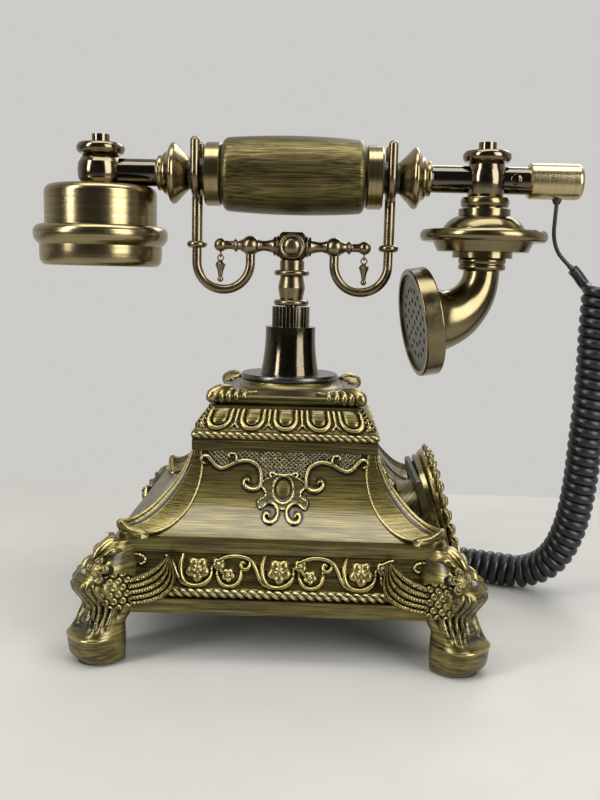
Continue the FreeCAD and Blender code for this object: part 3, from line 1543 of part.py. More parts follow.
# Cords: rounded runs for the lead, a helix of arcs for the coil
def rounded_path(name, points):
    """Straight runs joined by the largest tangent arcs that fit; prints the radii."""
    edges = []
    radii = []
    start = points[0]
    for before, corner, after in zip(points, points[1:], points[2:]):
        back = before - corner
        ahead = after - corner
        half = (math.pi - back.getAngle(ahead)) / 2
        reach = 0.45 * min(back.Length, ahead.Length)
        radius = reach / math.tan(half)
        back.normalize()
        ahead.normalize()
        middle = (back + ahead).normalize() * (radius / math.cos(half) - radius)
        enter = corner + back * reach
        leave = corner + ahead * reach
        edges.append(Part.LineSegment(start, enter).toShape())
        edges.append(Part.Arc(enter, corner + middle, leave).toShape())
        radii.append(round(radius, 1))
        start = leave
    edges.append(Part.LineSegment(start, points[-1]).toShape())
    print(name, "radii", radii)
    return Part.Wire(edges)


def tube(path, direction, diameter):
    start = path.OrderedVertexes[0].Point
    ring = Part.Wire(Part.Circle(start, direction, diameter / 2).toShape())
    return path.makePipeShell([ring], True, False)


def arc_from(start, heading, end):
    """Arc that leaves start along heading and reaches end."""
    chord = end - start
    along = Vector(chord).normalize()
    bend = heading.getAngle(chord)
    side = (heading - along * heading.dot(along)).normalize()
    middle = (start + end) * 0.5 + side * (chord.Length / 2 * math.tan(bend / 2))
    return Part.Arc(start, middle, end)


def biarc(start, heading, end, arriving):
    """Two arcs that share a tangent halfway."""
    span = end - start
    both = heading + arriving
    bend = 2 * (1 - heading.dot(arriving))
    reach = (-span.dot(both) + math.sqrt(span.dot(both) ** 2 + bend * span.dot(span))) / bend
    middle = (start + end + (heading - arriving) * reach) * 0.5
    first = arc_from(start, heading, middle)
    second = arc_from(end, arriving * -1, middle)
    second.reverse()
    return [first, second]


lead_points = [Vector(LEAD_EXIT_ALONG, 0, float(gland_low))] + [Vector(*point) for point in LEAD_ROUTE]
lead_path = rounded_path("handset_lead", lead_points)
keep("handset_lead", shaped("handset_lead", tube(lead_path, Vector(0, 0, 1), float(s.lead_diameter))))

SPINE_STEPS = 1600
spine = rounded_path("curly_cord spine", [Vector(*point) for point in CURL_ROUTE])
spine_points = spine.discretize(Number=SPINE_STEPS + 1)
spine_heading = [(after - before).normalize() for before, after in zip(spine_points, spine_points[1:])]
spine_heading.append(spine_heading[-1])
side = Vector(0, 1, 0)
spine_sides = []
for heading in spine_heading:
    side = (side - heading * side.dot(heading)).normalize()
    spine_sides.append(side)
curl_radius = float(s.curl_radius)
curl_wire = float(s.curl_wire)


def curl_frame(share):
    index = min(int(share * SPINE_STEPS), SPINE_STEPS - 1)
    part = share * SPINE_STEPS - index
    centre = spine_points[index] * (1 - part) + spine_points[index + 1] * part
    first = spine_sides[index] * (1 - part) + spine_sides[index + 1] * part
    return centre, first, first.cross(spine_heading[index]) * -1


last_side = curl_frame(1)[1]
last_cross = curl_frame(1)[2]
end_turn = math.atan2(-last_side.z, last_cross.z)
whole_turns = round(spine.Length / float(s.curl_pitch) - end_turn / (2 * math.pi))
curl_sweep = end_turn + 2 * math.pi * whole_turns


def curl_point(share):
    centre, first, second = curl_frame(min(max(share, 0), 1))
    turn = curl_sweep * share
    return centre + first * (curl_radius * math.cos(turn)) + second * (curl_radius * math.sin(turn))


def curl_heading(share):
    step = 0.02 / whole_turns
    low = max(share - step, 0)
    high = min(share + step, 1)
    return (curl_point(high) - curl_point(low)).normalize()


quarters = round(curl_sweep / (math.pi / 2))
lead_heading = (lead_points[-1] - lead_points[-2]).normalize()
lead_end = lead_points[-1] + lead_heading * (2 * float(s.seat_gap))
knots = [(lead_end + lead_heading * (curl_wire * 1.1), lead_heading)]
for index in range(quarters):
    knots.append((curl_point(index / quarters), curl_heading(index / quarters)))
plug_face = Vector(float(s.jack_along), float(s.jack_across), float(plug_low - s.seat_gap))
plug_approach = plug_face - Vector(0, 0, curl_wire * 1.3)
knots.append((plug_approach, Vector(0, 0, 1)))
curl_arcs = []
for (start, heading), (end, arriving) in zip(knots, knots[1:]):
    curl_arcs += biarc(start, heading, end, arriving)
turn_edges = [arc.toShape() for arc in curl_arcs]
first_edge = Part.LineSegment(lead_end, knots[0][0]).toShape()
last_edge = Part.LineSegment(plug_approach, plug_face).toShape()
curl_path = Part.Wire([first_edge] + turn_edges + [last_edge])
print("curly_cord turns", round(curl_sweep / (2 * math.pi), 2), "length", round(curl_path.Length, 1))
print("curly_cord tightest arc", round(min(edge.Curve.Radius for edge in turn_edges), 2), "wire", curl_wire)
keep("curly_cord", shaped("curly_cord", tube(curl_path, lead_heading, curl_wire)))


def least_gap(path, wire):
    """Least clear distance between stretches of a tube that are not neighbours along it."""
    count = int(path.Length)
    points = path.discretize(Number=count)
    step = path.Length / (count - 1)
    apart = int(wire * 2.5 / step)
    near = 1e9
    for index, point in enumerate(points):
        for other in points[index + apart:index + apart + int(curl_radius * 16 / step)]:
            near = min(near, (point - other).Length)
    return near - wire


print("curly_cord least gap", round(least_gap(curl_path, curl_wire), 2))
section = math.pi * curl_wire ** 2 / 4
print("curly_cord volume over section times length",
      round(pieces["curly_cord"].Shape.Volume / (section * curl_path.Length), 4))

# Hook spring round the plunger, squared to its seat and its collar
spring_radius = (float(s.plunger_radius) + float(s.chamber_radius)) / 2
spring_wire = float(s.spring_wire)
spring_low = float(chamber_low) + spring_wire * 0.55
spring_rise = float(s.spring_height) - spring_wire * 1.1
spring_quarters = int(float(s.spring_turns)) * 4


def spring_point(quarter):
    turn = quarter * math.pi / 2
    return Vector(spring_radius * math.cos(turn), spring_radius * math.sin(turn),
                  spring_low + spring_rise * quarter / spring_quarters)


def spring_heading(quarter):
    return (spring_point(quarter + 0.01) - spring_point(quarter - 0.01)).normalize()


spring_arcs = []
for index in range(spring_quarters):
    spring_arcs += biarc(spring_point(index), spring_heading(index),
                         spring_point(index + 1), spring_heading(index + 1))
spring_path = Part.Wire([arc.toShape() for arc in spring_arcs])
keep("hook_spring", shaped("hook_spring", tube(spring_path, spring_heading(0), spring_wire)))

# Every object and every piece is sound before anything is written
doc.recompute()
for item in doc.Objects:
    if "Invalid" in item.State or "Error" in item.State:
        raise RuntimeError(f"{item.Name} did not rebuild: {item.State}")
for name, item in pieces.items():
    if item.Shape.isNull() or not item.Shape.isValid() or not item.Shape.Solids:
        raise RuntimeError(f"{name} is not a sound solid")
os.makedirs("parts", exist_ok=True)
for name, item in pieces.items():
    item.Shape.exportStep(f"parts/{name}.step")
print("pieces", len(pieces))
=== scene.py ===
import bpy
import json
import math
import numpy as np
from mathutils import Matrix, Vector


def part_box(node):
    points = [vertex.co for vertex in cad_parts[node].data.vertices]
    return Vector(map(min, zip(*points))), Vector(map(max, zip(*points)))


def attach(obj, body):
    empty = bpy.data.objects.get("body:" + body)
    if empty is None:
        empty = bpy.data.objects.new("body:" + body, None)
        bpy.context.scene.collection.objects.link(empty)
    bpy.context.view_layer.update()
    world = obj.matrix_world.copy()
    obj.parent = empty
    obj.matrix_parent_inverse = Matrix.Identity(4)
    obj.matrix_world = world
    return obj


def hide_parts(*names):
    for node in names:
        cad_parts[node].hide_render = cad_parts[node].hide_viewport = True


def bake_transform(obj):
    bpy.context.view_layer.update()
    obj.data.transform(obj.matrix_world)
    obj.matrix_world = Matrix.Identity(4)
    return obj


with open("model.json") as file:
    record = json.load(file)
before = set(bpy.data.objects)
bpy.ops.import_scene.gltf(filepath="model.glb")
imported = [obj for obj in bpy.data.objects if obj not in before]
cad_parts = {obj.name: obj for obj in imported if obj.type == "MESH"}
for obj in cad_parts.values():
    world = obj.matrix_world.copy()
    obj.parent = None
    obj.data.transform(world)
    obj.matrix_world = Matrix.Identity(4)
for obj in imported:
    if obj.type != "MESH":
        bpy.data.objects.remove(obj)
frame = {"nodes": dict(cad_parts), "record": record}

scene = bpy.context.scene
scene.view_settings.view_transform = "Standard"
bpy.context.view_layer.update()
cadNodes = frame["nodes"]
mm = 0.001
print("frame loaded:", len(cadNodes), "nodes")


# shaping helpers
def gridQuads(rows, columns, wrapRows=False, wrapColumns=False):
    # each cell of a rows x columns grid is one quad; a wrapped side joins its last line to its first
    index = np.arange(rows * columns).reshape(rows, columns)
    if wrapRows:
        index = np.vstack([index, index[:1]])
    if wrapColumns:
        index = np.hstack([index, index[:, :1]])
    return np.stack([index[:-1, :-1], index[1:, :-1], index[1:, 1:], index[:-1, 1:]], -1).reshape(-1, 4)


def outward(shell):
    # a closed shell whose summed tetrahedra have negative volume is inside out, so its faces are reversed
    points, quads, tris, values = shell
    faces = np.concatenate([quads[:, :3], quads[:, [0, 2, 3]], tris])
    spots = points - points.mean(0)
    volume = np.einsum("ij,ij->", spots[faces[:, 0]], np.cross(spots[faces[:, 1]], spots[faces[:, 2]]))
    return shell if volume > 0 else (points, quads[:, ::-1], tris[:, ::-1], values)


def closedGrid(grid, relief=None, wrapColumns=True, wrapRows=False):
    # a grid of rings: columns close round, and each end ring is closed by a fan to its own middle
    rows, columns = grid.shape[:2]
    points = grid.reshape(-1, 3)
    quads = gridQuads(rows, columns, wrapRows, wrapColumns)
    values = np.zeros(len(points)) if relief is None else relief.ravel()
    tris = np.zeros((0, 3), int)
    if not wrapRows:
        ring = np.arange(columns)
        after = np.roll(ring, -1)
        last = (rows - 1) * columns
        tris = np.concatenate([
            np.stack([ring * 0 + len(points), ring, after], -1),
            np.stack([ring * 0 + len(points) + 1, last + after, last + ring], -1)])
        points = np.vstack([points, grid[0].mean(0), grid[-1].mean(0)])
        values = np.concatenate([values, [values[:columns].mean(), values[-columns:].mean()]])
    return outward((points, quads, tris, values))


def slab(front, back, relief, keep=None):
    # front and back grids of one size, joined round the outline of the kept cells
    rows, columns = front.shape[:2]
    count = rows * columns
    keep = np.ones((rows - 1, columns - 1), bool) if keep is None else keep
    index = np.arange(count).reshape(rows, columns)
    corner = [index[:-1, :-1], index[1:, :-1], index[1:, 1:], index[:-1, 1:]]
    faces = np.stack(corner, -1)[keep]
    around = np.pad(keep, 1)
    beside = [around[1:-1, :-2], around[2:, 1:-1], around[1:-1, 2:], around[:-2, 1:-1]]
    walls = []
    for side in range(4):
        bare = keep & ~beside[side]
        first, second = corner[side][bare], corner[(side + 1) % 4][bare]
        walls.append(np.stack([second, first, first + count, second + count], -1))
    quads = np.concatenate([faces, faces[:, ::-1] + count] + walls)
    used, fresh = np.unique(quads, return_inverse=True)
    points = np.concatenate([front.reshape(-1, 3), back.reshape(-1, 3)])[used]
    values = np.concatenate([relief.ravel(), relief.ravel()])[used]
    return outward((points, fresh.reshape(-1, 4), np.zeros((0, 3), int), values))


def wholeCells(keep):
    # cells whose four corners are all kept
    return keep[:-1, :-1] & keep[1:, :-1] & keep[1:, 1:] & keep[:-1, 1:]


def joined(shells):
    # shells laid one after another in one set of arrays
    starts = np.cumsum([0] + [len(shell[0]) for shell in shells[:-1]])
    return (np.concatenate([shell[0] for shell in shells]),
            np.concatenate([shell[1] + start for shell, start in zip(shells, starts)]),
            np.concatenate([shell[2] + start for shell, start in zip(shells, starts)]),
            np.concatenate([shell[3] for shell in shells]))


def turnedRound(shell, quarter):
    # the shell turned by quarter turns about the post's axis
    points = shell[0].copy()
    c, s = [(1, 0), (0, 1), (-1, 0), (0, -1)][quarter % 4]
    x, y = shell[0][:, 0], shell[0][:, 1]
    points[:, 0] = x * c - y * s
    points[:, 1] = x * s + y * c
    return (points,) + shell[1:]


def mirrored(shell, flip=(-1, 1, 1)):
    # the shell reflected, left to right unless told, with its faces reversed so that they point outwards
    return shell[0] * np.array(flip), shell[1][:, ::-1], shell[2][:, ::-1], shell[3]


def fourRound(shell):
    # the shell at all four corners or faces
    return joined([turnedRound(shell, quarter) for quarter in range(4)])


def makePiece(name, shell, material, body, replaces=(), sharp=38):
    # the arrays as a mesh, with the relief kept on its points; edges past the sharp angle stay crisp
    points, quads, tris, values = shell
    mesh = bpy.data.meshes.new(name)
    mesh.vertices.add(len(points))
    mesh.vertices.foreach_set("co", (points * mm).astype(np.float32).ravel())
    corners = np.concatenate([quads.ravel(), tris.ravel()]).astype(np.int32)
    starts = np.concatenate([np.arange(len(quads)) * 4, quads.size + np.arange(len(tris)) * 3])
    mesh.loops.add(len(corners))
    mesh.loops.foreach_set("vertex_index", corners)
    mesh.polygons.add(len(starts))
    mesh.polygons.foreach_set("loop_start", starts.astype(np.int32))
    mesh.update(calc_edges=True)
    mesh.validate()
    relief = mesh.attributes.new("relief", "FLOAT", "POINT")
    relief.data.foreach_set("value", values.astype(np.float32))
    mesh.shade_smooth()
    mesh.set_sharp_from_angle(angle=math.radians(sharp))
    piece = bpy.data.objects.new(name, mesh)
    scene.collection.objects.link(piece)
    return settle(piece, material, body, replaces)


def settle(piece, material, body, replaces=()):
    # the piece's finish, the body it moves with and the nodes that it stands for
    piece.data.materials.clear()
    piece.data.materials.append(material)
    if body:
        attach(piece, body)
    if replaces:
        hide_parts(*replaces)
    return piece


def smoothLine(points, count):
    # Catmull-Rom: every span is a cubic whose ends lean along the chord of its neighbours
    p = np.asarray(points, float)
    p = np.vstack([2 * p[0] - p[1], p, 2 * p[-1] - p[-2]])
    t = np.linspace(0, len(p) - 3, count)
    i = np.minimum(t.astype(int), len(p) - 4)
    f = (t - i)[:, None]
    a, b, c, d = p[i], p[i + 1], p[i + 2], p[i + 3]
    bend, twist = 2 * a - 5 * b + 4 * c - d, 3 * b - a - 3 * c + d
    return 0.5 * (2 * b + (c - a) * f + bend * f ** 2 + twist * f ** 3)


def bead(x, z, points, width, height, count=60, ends=0.45):
    # half-round bead: height times the root of one less the squared share of its half width; ends taper
    line = smoothLine(points, count)
    t = np.linspace(0, 1, count)
    wide = width * (ends + (1 - ends) * np.minimum(1, np.minimum(t, 1 - t) * 5))
    best = np.full(x.shape, 9.0)
    for k in range(count - 1):
        a, along = line[k], line[k + 1] - line[k]
        share = ((x - a[0]) * along[0] + (z - a[1]) * along[1]) / (along @ along + 1e-9)
        share = np.clip(share, 0, 1)
        gap = np.hypot(x - a[0] - share * along[0], z - a[1] - share * along[1])
        best = np.minimum(best, gap / (wide[k] + (wide[k + 1] - wide[k]) * share))
    return height * np.sqrt(np.clip(1 - best ** 2, 0, 1))


def inside(x, z, outline):
    # even-odd rule: a spot is inside when a line to its right crosses the outline an odd number of times
    outline = np.asarray(outline, float)
    odd = np.zeros(x.shape, bool)
    for (x1, z1), (x2, z2) in zip(outline, np.roll(outline, -1, 0)):
        if z1 != z2:
            crossing = (x2 - x1) * (z - z1) / (z2 - z1) + x1
            odd ^= ((z1 > z) != (z2 > z)) & (x < crossing)
    return odd


def softened(field, rounds):
    # each round averages a spot with its four neighbours
    for step in range(rounds):
        edge = np.pad(field, 1, mode="edge")
        field = (edge[:-2, 1:-1] + edge[2:, 1:-1] + edge[1:-1, :-2] + edge[1:-1, 2:] + 2 * field) / 6
    return field


def washValue(field, rounds=10, gain=2.6):
    # crest above, recess below: the height less its own neighbourhood's mean
    return np.clip((field - softened(field, rounds)) * gain, -1, 1)


def both(points):
    # a stroke and its mirror image
    points = np.asarray(points, float)
    return [points, points * np.array([-1, 1])]


# finishes
def freshFinish(name):
    # a new material, with its node tree and its shader
    material = bpy.data.materials.new(name)
    material.use_nodes = True
    return material, material.node_tree, material.node_tree.nodes["Principled BSDF"]


def addNode(tree, kind, **settings):
    # a node of that kind with its settings made
    node = tree.nodes.new(kind)
    for key, value in settings.items():
        setattr(node, key, value)
    return node


def mixColour(tree, share, first, second):
    # first where the share is 0 and second where it is 1; each is a socket or a constant
    node = addNode(tree, "ShaderNodeMix", data_type="RGBA")
    for place, value in (("Factor", share), (6, first), (7, second)):
        socket = node.inputs[place]
        if isinstance(value, bpy.types.NodeSocket):
            tree.links.new(value, socket)
        elif isinstance(value, tuple):
            socket.default_value = value + (1,)
        else:
            socket.default_value = value
    return node.outputs[2]


def mapRange(tree, value, low, high, newLow=0.0, newHigh=1.0, smooth=False):
    # the value carried from one range to another, in a straight line or a soft S
    node = addNode(tree, "ShaderNodeMapRange", interpolation_type="SMOOTHSTEP" if smooth else "LINEAR")
    node.inputs["From Min"].default_value = low
    node.inputs["From Max"].default_value = high
    node.inputs["To Min"].default_value = newLow
    node.inputs["To Max"].default_value = newHigh
    tree.links.new(value, node.inputs["Value"])
    return node.outputs["Result"]


def addSockets(group, way, kind, names):
    # named inputs or outputs of one kind
    for name in names:
        group.interface.new_socket(name, in_out=way, socket_type="NodeSocket" + kind)


bumpDepth = 0.0002  # metres at full height


def addBump(tree, shader, height, strength):
    # the height raised a little in the shader's normal
    bump = addNode(tree, "ShaderNodeBump")
    bump.inputs["Strength"].default_value = strength
    bump.inputs["Distance"].default_value = bumpDepth
    tree.links.new(height, bump.inputs["Height"])
    tree.links.new(bump.outputs["Normal"], shader.inputs["Normal"])


# each output's coordinates, then its noise scale, detail and roughness
brush = {
    "Streak": ("Vector", 0.42, 3, 0.62), "Hair": ("Vector", 1.5, 2, 0.5), "Blotch": ("Place", 62, 3, 0.5)}


def buildBrushGroup(facts):
    # hairline streaks: a stretched noise in two sizes, plus slow blotches; values about a half
    group = bpy.data.node_groups.new("brushLines", "ShaderNodeTree")
    addSockets(group, "INPUT", "Vector", ("Vector", "Place"))
    addSockets(group, "OUTPUT", "Float", facts)
    start = addNode(group, "NodeGroupInput")
    end = addNode(group, "NodeGroupOutput")
    for name, (source, scale, detail, roughness) in facts.items():
        noise = addNode(group, "ShaderNodeTexNoise")
        noise.inputs["Scale"].default_value = scale
        noise.inputs["Detail"].default_value = detail
        noise.inputs["Roughness"].default_value = roughness
        group.links.new(start.outputs[source], noise.inputs["Vector"])
        group.links.new(noise.outputs["Fac"], end.inputs[name])
    return group


# relief values where the dark starts and is full, and where the bright does, with how much of each
wash = {"grainFrom": (0.3, 0.7), "grain": 0.09, "recess": (-0.05, -0.5), "dark": 0.93,
        "crest": (0.16, 0.75), "bright": 0.85, "span": 0.6, "rough": (0.62, 0.3)}


def buildWashGroup(facts):
    # dark wash settles where relief is negative and rubbed gold shows where it is positive
    group = bpy.data.node_groups.new("reliefWash", "ShaderNodeTree")
    addSockets(group, "INPUT", "Color", ("Ground", "Wash", "Rubbed"))
    addSockets(group, "INPUT", "Float", ("Grain",))
    addSockets(group, "OUTPUT", "Color", ("Color",))
    addSockets(group, "OUTPUT", "Float", ("Roughness",))
    start = addNode(group, "NodeGroupInput")
    end = addNode(group, "NodeGroupOutput")
    relief = addNode(group, "ShaderNodeAttribute", attribute_name="relief")
    grain = mapRange(group, start.outputs["Grain"], *facts["grainFrom"], -facts["grain"], facts["grain"])
    wearAndShade = addNode(group, "ShaderNodeMath", operation="ADD")
    group.links.new(relief.outputs["Fac"], wearAndShade.inputs[0])
    group.links.new(grain, wearAndShade.inputs[1])
    dark = mapRange(group, wearAndShade.outputs[0], *facts["recess"], 0, facts["dark"], True)
    bright = mapRange(group, wearAndShade.outputs[0], *facts["crest"], 0, facts["bright"], True)
    rubbed = mixColour(group, bright, start.outputs["Ground"], start.outputs["Rubbed"])
    washed = mixColour(group, dark, rubbed, start.outputs["Wash"])
    group.links.new(washed, end.inputs["Color"])
    rough = mapRange(group, wearAndShade.outputs[0], -facts["span"], facts["span"], *facts["rough"])
    group.links.new(rough, end.inputs["Roughness"])
    return group


def buildSquareGroup():
    # brushing that goes round a square plan: height less the larger of the two distances from the post
    group = bpy.data.node_groups.new("squareBrush", "ShaderNodeTree")
    addSockets(group, "INPUT", "Vector", ("Place",))
    addSockets(group, "OUTPUT", "Vector", ("Vector",))
    start = addNode(group, "NodeGroupInput")
    end = addNode(group, "NodeGroupOutput")
    parts = addNode(group, "ShaderNodeSeparateXYZ")
    group.links.new(start.outputs["Place"], parts.inputs["Vector"])
    whole = addNode(group, "ShaderNodeCombineXYZ")
    far = addNode(group, "ShaderNodeMath", operation="MAXIMUM")
    for k, axis in enumerate("XY"):
        size = addNode(group, "ShaderNodeMath", operation="ABSOLUTE")
        group.links.new(parts.outputs[axis], size.inputs[0])
        group.links.new(size.outputs[0], far.inputs[k])
        group.links.new(parts.outputs[axis], whole.inputs[axis])
    less = addNode(group, "ShaderNodeMath", operation="SUBTRACT")
    group.links.new(parts.outputs["Z"], less.inputs[0])
    group.links.new(far.outputs[0], less.inputs[1])
    group.links.new(less.outputs[0], whole.inputs["Z"])
    group.links.new(whole.outputs["Vector"], end.inputs["Vector"])
    return group


brushLines = buildBrushGroup(brush)
reliefWash = buildWashGroup(wash)
squareBrush = buildSquareGroup()
# where each noise turns from one tone to the next, the dark wash, and the lacquer
aged = {"low": (0.3, 0.5), "high": (0.48, 0.72), "blotch": (0.4, 0.7), "blotchShade": 0.3,
        "hair": (0.3, 0.7), "hairRough": 0.08, "wash": (0.010, 0.008, 0.005),
        "coatRough": 0.2, "coatIor": 1.7}


def agedMetal(name, stretch, tones, rubbed, metallic, bump, roughShift, square=False, coat=0.0):
    # streaked ground of three tones under a relief wash, with the hairlines raised a little
    material, tree, shader = freshFinish(name)
    dark, mid, light = tones
    place = addNode(tree, "ShaderNodeTexCoord")
    mapping = addNode(tree, "ShaderNodeMapping")
    mapping.inputs["Scale"].default_value = stretch
    if square:
        turned = addNode(tree, "ShaderNodeGroup", node_tree=squareBrush)
        tree.links.new(place.outputs["Object"], turned.inputs["Place"])
        tree.links.new(turned.outputs["Vector"], mapping.inputs["Vector"])
    else:
        tree.links.new(place.outputs["Object"], mapping.inputs["Vector"])
    lines = addNode(tree, "ShaderNodeGroup", node_tree=brushLines)
    tree.links.new(mapping.outputs["Vector"], lines.inputs["Vector"])
    tree.links.new(place.outputs["Object"], lines.inputs["Place"])
    low = mixColour(tree, mapRange(tree, lines.outputs["Streak"], *aged["low"]), dark, mid)
    high = mixColour(tree, mapRange(tree, lines.outputs["Streak"], *aged["high"]), low, light)
    shade = mapRange(tree, lines.outputs["Blotch"], *aged["blotch"], 0.0, aged["blotchShade"])
    ground = mixColour(tree, shade, high, dark)
    washing = addNode(tree, "ShaderNodeGroup", node_tree=reliefWash)
    tree.links.new(ground, washing.inputs["Ground"])
    tree.links.new(lines.outputs["Hair"], washing.inputs["Grain"])
    washing.inputs["Wash"].default_value = aged["wash"] + (1,)
    washing.inputs["Rubbed"].default_value = rubbed + (1,)
    tree.links.new(washing.outputs["Color"], shader.inputs["Base Color"])
    rough = addNode(tree, "ShaderNodeMath", operation="ADD")
    tree.links.new(washing.outputs["Roughness"], rough.inputs[0])
    hairRough = (roughShift - aged["hairRough"], roughShift + aged["hairRough"])
    tree.links.new(mapRange(tree, lines.outputs["Hair"], *aged["hair"], *hairRough), rough.inputs[1])
    tree.links.new(rough.outputs[0], shader.inputs["Roughness"])
    shader.inputs["Metallic"].default_value = metallic
    shader.inputs["Coat Weight"].default_value = coat
    shader.inputs["Coat Roughness"].default_value = aged["coatRough"]
    shader.inputs["Coat IOR"].default_value = aged["coatIor"]
    addBump(tree, shader, lines.outputs["Hair"], bump)
    return material


plain = {"detail": 3, "tones": (0.35, 0.65), "rough": (0.3, 0.7)}


def plainFinish(name, first, second, roughLow, roughHigh, metallic=0.0, grain=900.0, bump=0.05):
    # two close tones in a fine noise, with roughness and a faint bump from the same noise
    material, tree, shader = freshFinish(name)
    place = addNode(tree, "ShaderNodeTexCoord")
    noise = addNode(tree, "ShaderNodeTexNoise")
    noise.inputs["Scale"].default_value = grain
    noise.inputs["Detail"].default_value = plain["detail"]
    tree.links.new(place.outputs["Object"], noise.inputs["Vector"])
    share = mapRange(tree, noise.outputs["Fac"], *plain["tones"])
    tree.links.new(mixColour(tree, share, first, second), shader.inputs["Base Color"])
    rough = mapRange(tree, noise.outputs["Fac"], *plain["rough"], roughLow, roughHigh)
    tree.links.new(rough, shader.inputs["Roughness"])
    shader.inputs["Metallic"].default_value = metallic
    addBump(tree, shader, noise.outputs["Fac"], bump)
    return material


def deeper(tones, share):
    # the same three tones, each brought down to a share of itself
    return tuple(tuple(part * share for part in tone) for tone in tones)


# dark, middle and light of each streaked metal, and what shows where it is rubbed
tones = {
    "olive": ((0.022, 0.017, 0.0035), (0.118, 0.093, 0.020), (0.29, 0.235, 0.068)),
    "grip": ((0.020, 0.016, 0.005), (0.098, 0.079, 0.026), (0.25, 0.21, 0.088)),
    "brass": ((0.19, 0.149, 0.074), (0.265, 0.214, 0.110), (0.345, 0.285, 0.158)),
    "hook": ((0.155, 0.122, 0.070), (0.19, 0.152, 0.089), (0.225, 0.182, 0.108)),
    "horn": ((0.155, 0.125, 0.064), (0.188, 0.152, 0.079), (0.222, 0.181, 0.096)),
    # tail: a lighter copy of the brass tones, painted reflection on the tail cap
    "tail": ((0.36, 0.287, 0.152), (0.45, 0.366, 0.202), (0.54, 0.45, 0.262))}
rubbedGold = (0.50, 0.405, 0.145)
rubbedBrass = (0.6, 0.5, 0.28)
rubbedHook = (0.5, 0.41, 0.22)
aroundBase = (105, 105, 3600)  # streaks run level and follow the square plan
aroundCup = (9, 9, 3800)
aroundArm = (3800, 9, 9)

# stretch, tones, rubbed tone, metallic, bump, roughness shift, then square brushing and coat where used
castGold = agedMetal("castGold", aroundBase, tones["olive"], rubbedGold, 0.88, 0.3, -0.12, True, 0.36)
# painted shade: the hollow faces get a darker copy of the olive tones
panelShadeTones = deeper(tones["olive"], 0.87)
panelShadedGold = agedMetal("panelShadedGold", aroundBase, panelShadeTones, rubbedGold, 0.88, 0.3, -0.12, True, 0.62)
# painted shade: the neck block gets a much darker copy of the olive tones
neckShadeTones = deeper(tones["olive"], 0.64)
neckShadedGold = agedMetal("neckShadedGold", aroundBase, neckShadeTones, rubbedGold, 0.88, 0.3, -0.12, True, 0.2)
legGold = agedMetal("legGold", (230, 230, 2300), tones["olive"], rubbedGold, 0.88, 0.3, -0.12, False, 0.36)
gripGold = agedMetal("gripGold", (38, 4400, 4400), tones["grip"], rubbedGold, 0.9, 0.45, -0.14)
satinBrass = agedMetal("satinBrass", aroundCup, tones["brass"], rubbedBrass, 1.0, 0.1, -0.25)
ringBrass = agedMetal("ringBrass", aroundArm, tones["brass"], rubbedBrass, 1.0, 0.1, -0.25)
hookBrass = agedMetal("hookBrass", (160, 160, 160), tones["hook"], rubbedHook, 1.0, 0.02, -0.2)
hornBrass = agedMetal("hornBrass", (110, 110, 110), tones["horn"], rubbedBrass, 1.0, 0.02, -0.25)
# painted reflection: the tail cap's brass is lit up with lighter tones than the other brass
tailLitBrass = agedMetal("tailLitBrass", aroundArm, tones["tail"], rubbedBrass, 1.0, 0.08, -0.22)

# two close tones, the least and the most roughness, then metallic, grain and bump where they differ
knuckleBronze = plainFinish(
    "knuckleBronze", (0.145, 0.117, 0.074), (0.18, 0.147, 0.095), 0.1, 0.17, 1.0, 300, 0.02)
darkBronze = plainFinish(
    "darkBronze", (0.075, 0.063, 0.041), (0.10, 0.084, 0.056), 0.09, 0.15, 1.0, 420, 0.02)
flangeGrey = plainFinish(
    "flangeGrey", (0.085, 0.082, 0.075), (0.13, 0.125, 0.115), 0.2, 0.34, 1.0, 1600, 0.12)
steel = plainFinish("steel", (0.42, 0.42, 0.41), (0.52, 0.52, 0.51), 0.22, 0.34, 1.0)
blackPlastic = plainFinish("blackPlastic", (0.012, 0.012, 0.013), (0.02, 0.02, 0.021), 0.32, 0.46)
cordBlack = plainFinish(
    "cordBlack", (0.005, 0.005, 0.006), (0.010, 0.010, 0.011), 0.3, 0.42, 0.0, 700, 0.08)
padRubber = plainFinish("padRubber", (0.02, 0.02, 0.02), (0.035, 0.034, 0.033), 0.6, 0.8)
ivoryPlate = plainFinish("ivoryPlate", (0.62, 0.56, 0.43), (0.70, 0.65, 0.52), 0.35, 0.48, 0.0, 260)
grilleGrey = plainFinish(
    "grilleGrey", (0.085, 0.076, 0.052), (0.135, 0.122, 0.086), 0.3, 0.45, 0.8, 600, 0.1)
boardGreen = plainFinish("boardGreen", (0.02, 0.09, 0.04), (0.03, 0.12, 0.05), 0.35, 0.5)
digitInk = plainFinish("digitInk", (0.012, 0.011, 0.010), (0.02, 0.018, 0.016), 0.4, 0.5)
tube = {"inner": 0.0665, "outer": 0.1129, "edge": 0.0001, "tone": (0.115, 0.099, 0.080), "rough": 0.1}


